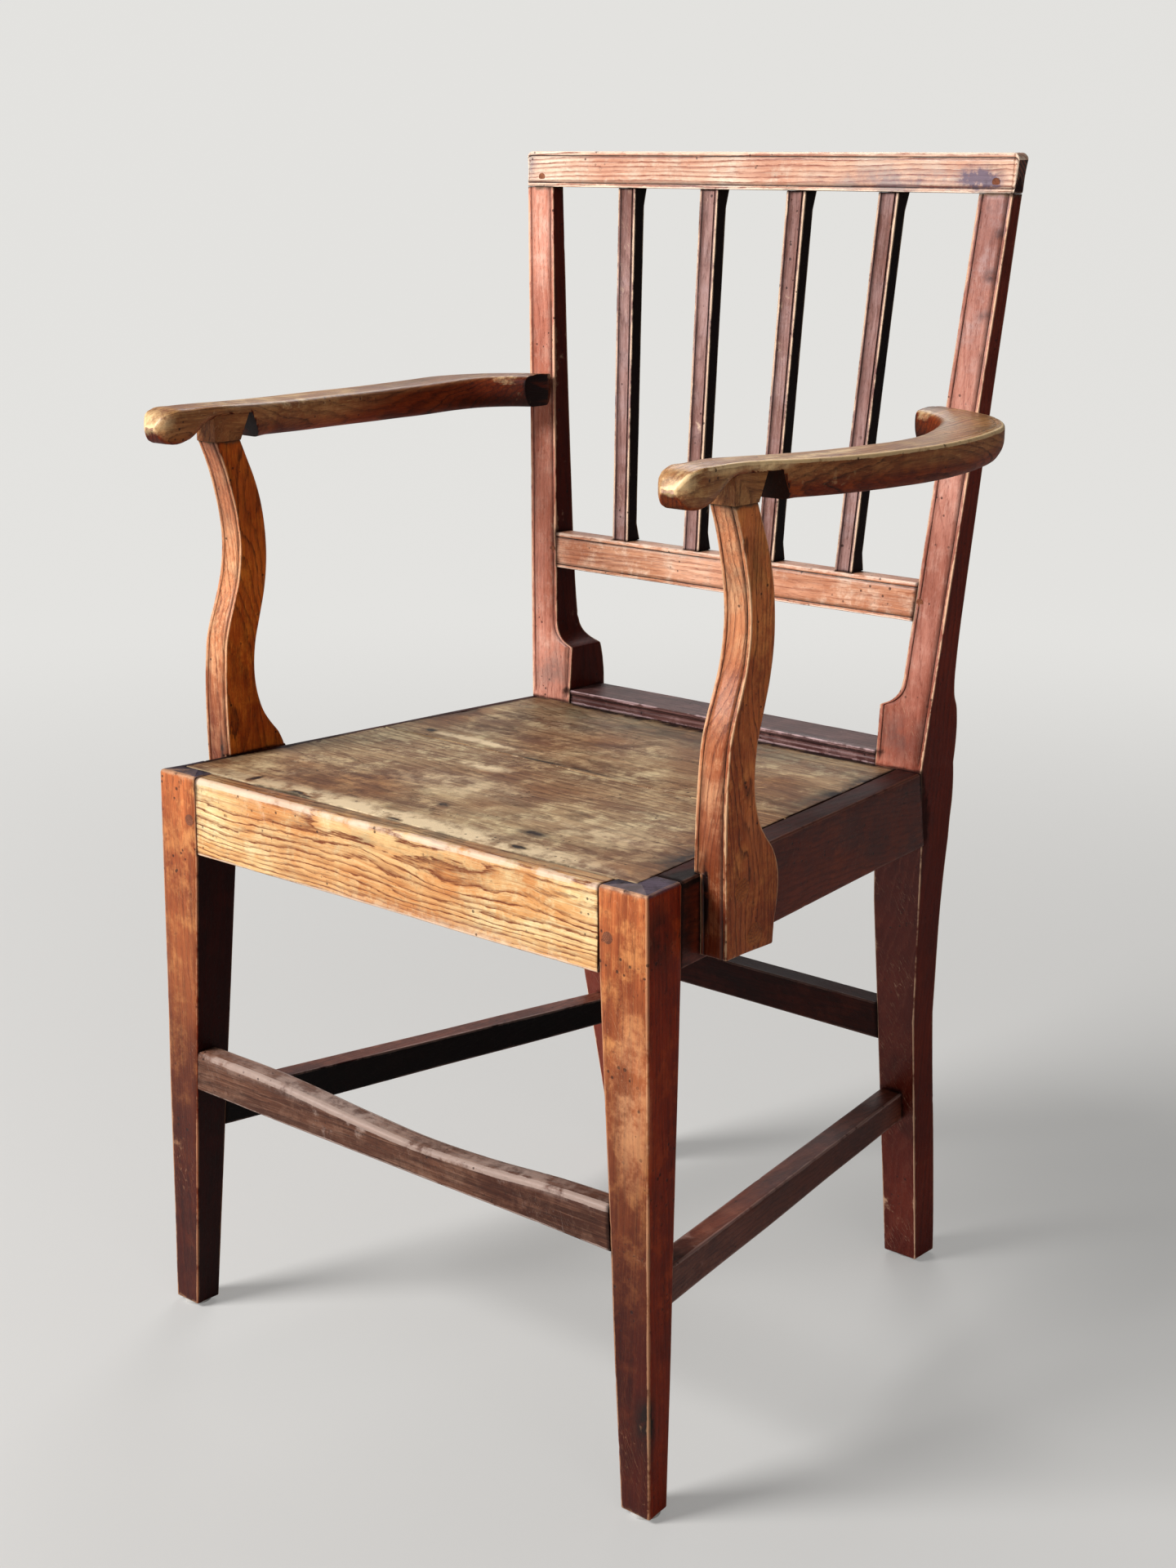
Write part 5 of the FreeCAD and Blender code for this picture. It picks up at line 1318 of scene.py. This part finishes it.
arm = {
    "noseDepth": 9.0, "noseWidth": 31.0, "width": 40.0, "thick": 27.0, "under": 685.5, "rise": 7.5,
    "noseRise": 3.0, "bow": 23.0, "endSetback": 18.0, "endOverrun": 3.0, "bowShare": 0.652, "collarTop": 20.5,
    "slant": 10.0, "recess": 14.0, "crown": 0.95, "cutFront": 188.0, "cutInner": 150, "cutOuter": 340,
    "cutBack": 500,
    "frontPath": [(0.328, 0.09, 0.825, 0.30), (0.461, 0.35, 0.91, 0.15), (0.627, 0.65, 0.975, 0.03),
                  (0.813, 0.89, 1.0, 0.0), (1.0, 1.0, 1.0, 0.0)],
    "backPath": [(0.215, 0.012, 1.025, 0.08), (0.408, 0.062, 1.12, 0.22), (0.638, 0.161, 1.20, 0.50),
                 (0.815, 0.373, 1.075, 0.74), (0.923, 0.658, 0.95, 0.90), (1.0, 1.0, 0.85, 1.0)],
    "nose": [(0.0, 0.20, 0.18, 0.38, 0.42, 0.50, 0.52), (0.09, 0.37, 0.30, 0.10, 0.30, 0.78, 0.82),
             (0.25, 0.47, 0.36, -0.02, 0.26, 0.93, 0.975), (0.55, 0.50, 0.34, 0.05, 0.34, 0.96, 1.0),
             (1.0, 0.50, 0.22, 0.52, 0.72, 0.96, 1.0)],
    "section": (0.50, 0.35, 0.0, 0.40, 0.965, 1.0),
}
screwHeight = arm["under"] + arm["rise"] + arm["thick"] / 2
noseX = supportOuter - support["width"] / 2
endX = float(shaftInner(screwHeight)) - arm["endOverrun"]
endDepth = frontOf(screwHeight) - arm["endSetback"]
bowDepth = between(arm["noseDepth"], endDepth, arm["bowShare"])
path = []
for share, *section in arm["nose"]:
    depth = between(arm["noseDepth"], support["front"], share)
    path.append((noseX, depth, arm["noseWidth"], arm["noseRise"], section))
for share, aside, width, rise in arm["frontPath"]:
    path.append((between(noseX, noseX + arm["bow"], aside), between(arm["noseDepth"], bowDepth, share),
                 arm["width"] * width, arm["rise"] * rise, arm["section"]))
for share, aside, width, rise in arm["backPath"]:
    path.append((between(noseX + arm["bow"], endX, aside), between(bowDepth, endDepth, share),
                 arm["width"] * width, arm["rise"] * rise, arm["section"]))


def armCorners(sign):
    plan = np.array([row[:2] for row in path])
    ahead = np.zeros_like(plan)
    first = len(arm["nose"])
    for i in range(len(plan)):
        if i < first:
            ahead[i] = (0, 1)
        else:
            ahead[i] = plan[min(i + 1, len(plan) - 1)] - plan[max(i - 1, first)]
    ahead /= np.linalg.norm(ahead, axis=1, keepdims=True)
    lines = np.zeros((len(plan), 6, 3))
    for i, (x, depth, width, rise, (halfShare, foot, low, sideFoot, arris, crown)) in enumerate(path):
        across = (ahead[i, 1], -ahead[i, 0])
        for k, (offset, level) in enumerate([(halfShare, arris), (-halfShare, arris), (-halfShare, sideFoot),
                                             (-foot, low), (foot, low), (halfShare, sideFoot)]):
            lines[i, k] = (sign * (x + across[0] * width * offset), depth + across[1] * width * offset,
                           arm["under"] + rise + arm["thick"] * level)
    run = np.concatenate([[0], np.cumsum(np.linalg.norm(np.diff(plan, axis=0), axis=1))])
    places, inset = stationsAlong(0, run[-1], 3.0, [(0, 6, 0.8)], (1.0, 0.25))
    smooth = np.zeros((len(places), 6, 3))
    for k in range(6):
        for axis in range(3):
            smooth[:, k, axis] = curveThrough(list(zip(run, lines[:, k, axis])), places)
    return smooth, inset, places


def collarBlocks(sign):
    low, high = support["top"], support["top"] + arm["collarTop"]
    rear = support["front"] + support["foot"] * support["rearCurve"][-1][1]
    room = prism([(support["front"], low - 6), (rear + arm["slant"] + arm["recess"], low - 6),
                  (rear + arm["slant"], high), (support["front"], high)], sign * arm["cutInner"],
                 sign * arm["cutOuter"])
    grown = [(support["front"] + 0.15, low), (rear, low), (rear + arm["slant"], high + 1.0),
             (support["front"] + 0.15, high + 1.0)]
    return room, prism(grown, sign * topInner, sign * supportOuter)


def postBlocks(sign):
    low, high = arm["under"] - 20, arm["under"] + 50
    front, back = arm["cutFront"], arm["cutBack"]
    behind = prism([(frontOf(low), low), (frontOf(high), high), (back, high), (back, low)], 0,
                   sign * arm["cutOuter"])
    inside = float(shaftInner(screwHeight))
    return behind, prism([(front, low), (back, low), (back, high), (front, high)], 0, sign * inside)


for side, sign in sides.items():
    corners, inset, places = armCorners(sign)
    # Painted shade on the arm's inner and outer sides, deeper towards the rear
    inner = np.interp(places, [0, 34, 60, 190, 280, 380], [0.1, 0.15, 0.3, 0.4, 0.9, 1.4])
    outer = np.interp(places, [0, 34, 60, 300, 400], [0.0, 0.0, 0.5, 0.55, 0.8])
    crownSide = [("start", 0.8, -0.1), ("start", 3.8, -0.35), ("start", 4.4, -0.2, -0.6), ("start", 5.0, -0.45),
                 ("end", 0.8, -0.1)]
    crownSide += middleMarks(9, 0.0, -arm["crown"])
    # The pale mark on the nose is a painted highlight
    piece = barPiece("arm" + side.capitalize(), ["arm_" + side], corners, inset, [2.2, 6.5, 6.5, 5.0, 5.0, 6.5],
                     [crownSide, plainSide(5), plainSide(4), plainSide(6), plainSide(4), plainSide(5)], "arm",
                     {"rub": 0.6, "chip": 0.9, "uneven": 0.3}, 91 + sign, ("y", (740, 300 * sign), 0.02),
                     "first", sinkScale=np.clip(places / 30, 0.1, 1),
                     shades=[0.0, inner, inner + 0.4, 1.5, outer + 0.5, outer],
                     rubbed=[0.9, 0.3, 0.1, 0.1, 0.1, 0.1],
                     marks=[((sign * 247, 15, 706), (16, 9, 7), -0.7),
                            ((sign * 265, 120, 711), (5, 90, 4), -0.8),
                            ((sign * 247, 90, 712), (14, 50, 4), -0.4),
                            ((sign * 255, 310, 716), (50, 80, 8), 0.3),
                            ((sign * 196, 372, 705), (16, 26, 30), 0.5)])
    room, collar = collarBlocks(sign)
    behind, inside = postBlocks(sign)
    # The recess cut behind the collar gets deep painted shade and a dark spot; the collar's new faces a little
    # painted shade
    carve(piece, [room, behind, inside], bare={"shade": 2.0, "edge": 0.0, "stainAndPaintedLight": 0.4})
    carve(piece, [collar], "UNION", bare={"shade": 0.45, "edge": 0.0, "stainAndPaintedLight": 0.0})
print("arms")


# Stretchers

stretcher = {"thick": 20.0, "frontFoot": 188.0, "frontHigh": 33.0, "dip": 9.0, "backFoot": 202.0,
             "backHigh": 33.0, "inset": 11.0, "sideFront": 140.0, "sideBack": 134.0, "lift": 9.0,
             "frontRise": 29.0, "backRise": 24.0,
             "worn": [(0.0, 0.0), (0.2, 0.1), (0.42, 0.75), (0.55, 1.0), (0.7, 0.8), (0.88, 0.15), (1.0, 0.0)]}
low, high = stretcher["frontFoot"], stretcher["frontFoot"] + stretcher["frontHigh"]
reach = float(legInner(high))
places, inset = stationsAlong(-reach, reach, 4.0)
worn = high - stretcher["dip"] * curveThrough(stretcher["worn"], (places / reach + 1) / 2)
lowReach = float(legInner(low))
corners = lying([(reach, 0, worn), (lowReach, 0, low), (lowReach, stretcher["thick"], low),
                 (reach, stretcher["thick"], worn)], places / reach)
barPiece("frontStretcher", ["front_stretcher"], corners, inset, [4.0, 1.4, 1.2, 2.6],
         [plainSide(8), plainSide(5), plainSide(8), plainSide(6)], "footRest",
         {"rub": 0.9, "chip": 1.6, "uneven": 0.6, "ripple": 0.12}, 101, ("x", (150, -60), 0.02),
         shades=[0.35, 1.2, 1.6, 0.0], marks=[((0, 8, 217), (220, 14, 6), -0.6)])
low, high = stretcher["backFoot"], stretcher["backFoot"] + stretcher["backHigh"]
inset, corners = acrossPosts(low, high, stretcher["thick"], 4.5)
barPiece("backStretcher", ["back_stretcher"], corners, inset, [1.3, 1.3, 1.3, 1.3], [plainSide(6)] * 4,
         "stretcher", {"rub": 0.5, "chip": 1.0, "uneven": 0.4}, 103, ("x", (240, 300), 0.02),
         shades=[1.0, 1.2, 0.5, 1.0])


def stretcherLine(depth):
    level = (stretcher["sideFront"] + stretcher["sideBack"]) / 2
    front = float(legOuter(level)) - stretcher["inset"]
    rear = float(postOuter(level)) - stretcher["inset"]
    return between(front, rear, (depth - leg["footDepth"]) / (frontOf(level) - leg["footDepth"]))


for side, sign in sides.items():
    lift = 0 if sign > 0 else stretcher["lift"]
    shares, inset = stationsAlong(0, 1, 1 / 90, (), (0.0008, 0.0008))
    inset = inset * 300
    frontLow, backLow = stretcher["sideFront"] + lift, stretcher["sideBack"] + lift
    frontTop, backTop = frontLow + stretcher["frontRise"], backLow + stretcher["backRise"]
    columns = []
    for setIn, atFront, atBack in ((0, frontTop, backTop), (0, frontLow, backLow),
                                   (stretcher["thick"], frontLow, backLow),
                                   (stretcher["thick"], frontTop, backTop)):
        start = float(legDepth(atFront))
        depth = between(start, frontOf(atBack), shares)
        columns.append((sign * (stretcherLine(depth) - setIn), depth, between(atFront, atBack, shares)))
    barPiece("sideStretcher" + side.capitalize(), ["side_stretcher_" + side], cornerLines(columns), inset,
             [1.4, 1.3, 1.3, 1.4], [plainSide(6), plainSide(5), plainSide(6), plainSide(5)], "stretcher",
             {"rub": 0.6, "chip": 1.2, "uneven": 0.5}, 105 + sign, ("y", (210, 40 * sign), 0.02),
             shades=[0.4, 1.2, 2.0, 0.2])
print("stretchers")


# Pegs, plugs, nails and glides

def pins(name, node, where, values, look):
    base = bpy.data.meshes.new(name + "Points")
    base.from_pydata(toMetres([place for place, facing in where]).tolist(), [], [])
    writeLayer(base, "facing", np.array([facing for place, facing in where], float))
    material, slot = look
    piece = grow(name, base, pinTree, dict(values, Material=material))
    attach(piece, "root")
    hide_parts(node)
    return piece


def both(x, depth, height, facing):
    return [((sign * x, depth, height), (sign * facing[0], facing[1], facing[2])) for sign in (1, -1)]


def pinSizes(head, height, shank, length, dome, seed):
    # Diameters and lengths in millimetres
    return {"Head Radius": head / 2000, "Head Height": height / 1000, "Shank Radius": shank / 2000,
            "Shank Length": length / 1000, "Dome": dome / 1000, "Seed": seed}


peg = {"railIn": 8.5, "railDrop": 34.6, "crestIn": 17.7, "crestDrop": 21, "midIn": 4.2, "proud": 0.05}
pegX = chair["seatFront"] / 2 - leg["width"] + peg["railIn"]
pins("frontRailPegs", "front_rail_pegs", both(pegX, 0.02, top - peg["railDrop"], (0, -1, 0)),
     pinSizes(9, 23.8, 8, 0.1, 0.12, 3), looks["peg"])
raked = (0, -1, -0.08)
pegHeight = chair["height"] - peg["crestDrop"]
places = both(chair["crestWidth"] / 2 - peg["crestIn"], frontOf(pegHeight) + peg["proud"], pegHeight, raked)
pins("crestPegs", "crest_pegs", places, pinSizes(6.5, 14.0, 6, 0.1, 0.1, 5), looks["peg"])
pegHeight = midFoot + chair["midHeight"] / 2
places = both(float(shaftInner(pegHeight)) + peg["midIn"], frontOf(pegHeight) + peg["proud"], pegHeight, raked)
pins("midRailPegs", "mid_rail_pegs", places, pinSizes(6.5, 22.6, 6, 0.1, 0.1, 7), looks["peg"])
plug = {"setbacks": (16.5, 31.5), "drops": ((1, (10.6, 44.6)), (-1, (23.6, 46.6))), "sunk": 0.03, "armIn": 14.5,
        "armSunk": 0.2}
places = []
for sign, drops in plug["drops"]:
    for setback, drop in zip(plug["setbacks"], drops):
        places.append(((sign * (supportOuter - plug["sunk"]), support["front"] + setback, top - drop),
                       (sign, 0, 0)))
pins("supportPlugs", "support_plugs", places, pinSizes(16, 6.8, 15, 0.1, 0.15, 9), looks["plug"])
rearDepth = frontOf(screwHeight) + float(curveThrough(post["thick"], screwHeight)) - plug["armSunk"]
places = both(float(shaftInner(screwHeight)) + plug["armIn"], rearDepth, screwHeight, (0, 1, 0.0))
pins("armScrewPlugs", "arm_screw_plugs", places, pinSizes(11, 3.7, 10, 0.1, 0.3, 11), looks["plug"])
nail = {"across": (-0.8, -0.275, 0.25, 0.775), "reach": 200.2, "frontIn": 5.5,
        "back": (0.371, 0.504, 0.623, 0.902),
        "sideIn": 4.5, "sunk": 0.05}
places = []
for share in nail["across"]:
    places.append(((share * nail["reach"], chair["boardFront"] + nail["frontIn"], top - nail["sunk"]),
                   (0, 0, 1)))
for share in nail["back"]:
    depth = seatBack * share
    left = sideFace(depth) - chair["boardMargins"][0] - nail["sideIn"]
    right = chair["boardMargins"][1] + nail["sideIn"] - sideFace(depth)
    places += [((x, depth, top - nail["sunk"]), (0, 0, 1)) for x in (left, right)]
pins("seatNails", "seat_nails", places, pinSizes(5.6, 1.15, 2.4, 26.8, 0.2, 13), (iron, "iron"))
glidePlaces = both(legOuter(0) - leg["footWidth"] / 2, leg["footDepth"] / 2, -chair["glide"], (0, 0, -1))
rearFoot = float(postOuter(0)) - post["footWidth"] / 2
glidePlaces += both(rearFoot, (frontOf(0) + 2 * halfDepth) / 2, -chair["glide"], (0, 0, -1))
pins("footGlides", "foot_glides", glidePlaces, pinSizes(21, 3.0, 3.0, 14.0, 0.4, 15), (white, "glide_white"))


# What lies hidden inside the joints keeps its own shape

for node, material in (("back_seat_cleat", looks["stretcher"][0]), ("cleat_screws", iron),
                       ("support_screws", iron), ("arm_screws", iron)):
    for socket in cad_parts[node].material_slots:
        socket.material = material
print("pins and hidden parts")


# Floor, light and camera

view = {"eye": (1.1456, -1.33635, 0.9014), "yaw": 41.0, "pitch": 15.0, "roll": 0.2, "focal": 2883, "high": 1920,
        "sensor": 36.0}
eye = Vector(view["eye"])
yaw, pitch, roll = (math.radians(view[angle]) for angle in ("yaw", "pitch", "roll"))
ahead = Vector((-math.sin(yaw) * math.cos(pitch), math.cos(yaw) * math.cos(pitch), -math.sin(pitch)))
right = Vector((math.cos(yaw), math.sin(yaw), 0))
up = right.cross(ahead)
tilted = right * math.cos(roll) + up * math.sin(roll)
upward = up * math.cos(roll) - right * math.sin(roll)


sweep = {"near": -6.0, "far": 3.0, "bend": 2.0, "top": 6.0, "half": 8.0, "steps": 12}


def makeFloor():
    # A pale sweep: flat under the chair, curved up far behind it
    far, bend = sweep["far"], sweep["bend"]
    profile = [(sweep["near"], 0.0), (far, 0.0)]
    for i in range(1, sweep["steps"] + 1):
        turn = math.radians(90 * i / sweep["steps"])
        profile.append((far + bend * math.sin(turn), bend - bend * math.cos(turn)))
    profile.append((far + bend, sweep["top"]))
    away = Vector((ahead.x, ahead.y, 0)).normalized()
    points = []
    for run, height in profile:
        for aside in (-sweep["half"], sweep["half"]):
            points.append(away * run + right * aside + Vector((0, 0, height)))
    faces = [[2 * i, 2 * i + 1, 2 * i + 3, 2 * i + 2] for i in range(len(profile) - 1)]
    mesh = bpy.data.meshes.new("floor")
    mesh.from_pydata([tuple(p) for p in points], [], faces)
    mesh.shade_smooth()
    material, tree, shader = startMaterial("floorPaint")
    shader.inputs["Base Color"].default_value = paint(200, 198, 195)
    shader.inputs["Roughness"].default_value = 0.9
    place = wire(tree, "ShaderNodeTexCoord").outputs["Object"]
    far = wire(tree, "ShaderNodeVectorMath", {0: place}, operation="LENGTH").outputs["Value"]
    far = spread(tree, far, 0.6, 3.0, 0.3, 1.0)
    seen = wire(tree, "ShaderNodeLightPath").outputs["Is Camera Ray"]
    glow = put(tree, "ShaderNodeEmission", {"Color": paint(232, 231, 228), "Strength": 1.0})
    share = times(tree, times(tree, far, seen), 0.92)
    blend = wire(tree, "ShaderNodeMixShader", {0: share, 1: shader.outputs[0], 2: glow})
    tree.links.new(blend.outputs[0], tree.nodes["Material Output"].inputs[0])
    mesh.materials.append(material)
    floor = bpy.data.objects.new("floor", mesh)
    bpy.context.scene.collection.objects.link(floor)


def addLamp(name, place, target, size, power):
    lamp = bpy.data.lights.new(name, "AREA")
    lamp.shape = "DISK"
    lamp.size = size
    lamp.energy = power
    holder = bpy.data.objects.new(name, lamp)
    holder.location = place
    aim = Vector(target) - Vector(place)
    holder.rotation_euler = aim.to_track_quat("-Z", "Y").to_euler()
    bpy.context.scene.collection.objects.link(holder)


makeFloor()
addLamp("key", (-1.9, -3.4, 3.0), (0, 0, 0.45), 2.0, 278)
addLamp("fill", (2.8, -1.6, 1.6), (0, 0, 0.4), 2.2, 11)
addLamp("back", (-1.6, 2.2, 2.6), (0, 0, 0.6), 1.6, 26)
world = bpy.data.worlds.new("room")
bpy.context.scene.world = world
world.use_nodes = True
world.node_tree.nodes["Background"].inputs[0].default_value = (0.95, 0.97, 1.0, 1)
world.node_tree.nodes["Background"].inputs[1].default_value = 0.15
bpy.context.scene.view_settings.view_transform = "Standard"

lens = bpy.data.cameras.new("camera")
lens.sensor_width = view["sensor"]
lens.lens = view["sensor"] * view["focal"] / view["high"]
camera = bpy.data.objects.new("camera", lens)
camera.matrix_world = Matrix((
    (tilted.x, upward.x, -ahead.x, eye.x), (tilted.y, upward.y, -ahead.y, eye.y),
    (tilted.z, upward.z, -ahead.z, eye.z), (0, 0, 0, 1)))
bpy.context.scene.collection.objects.link(camera)
bpy.context.scene.camera = camera
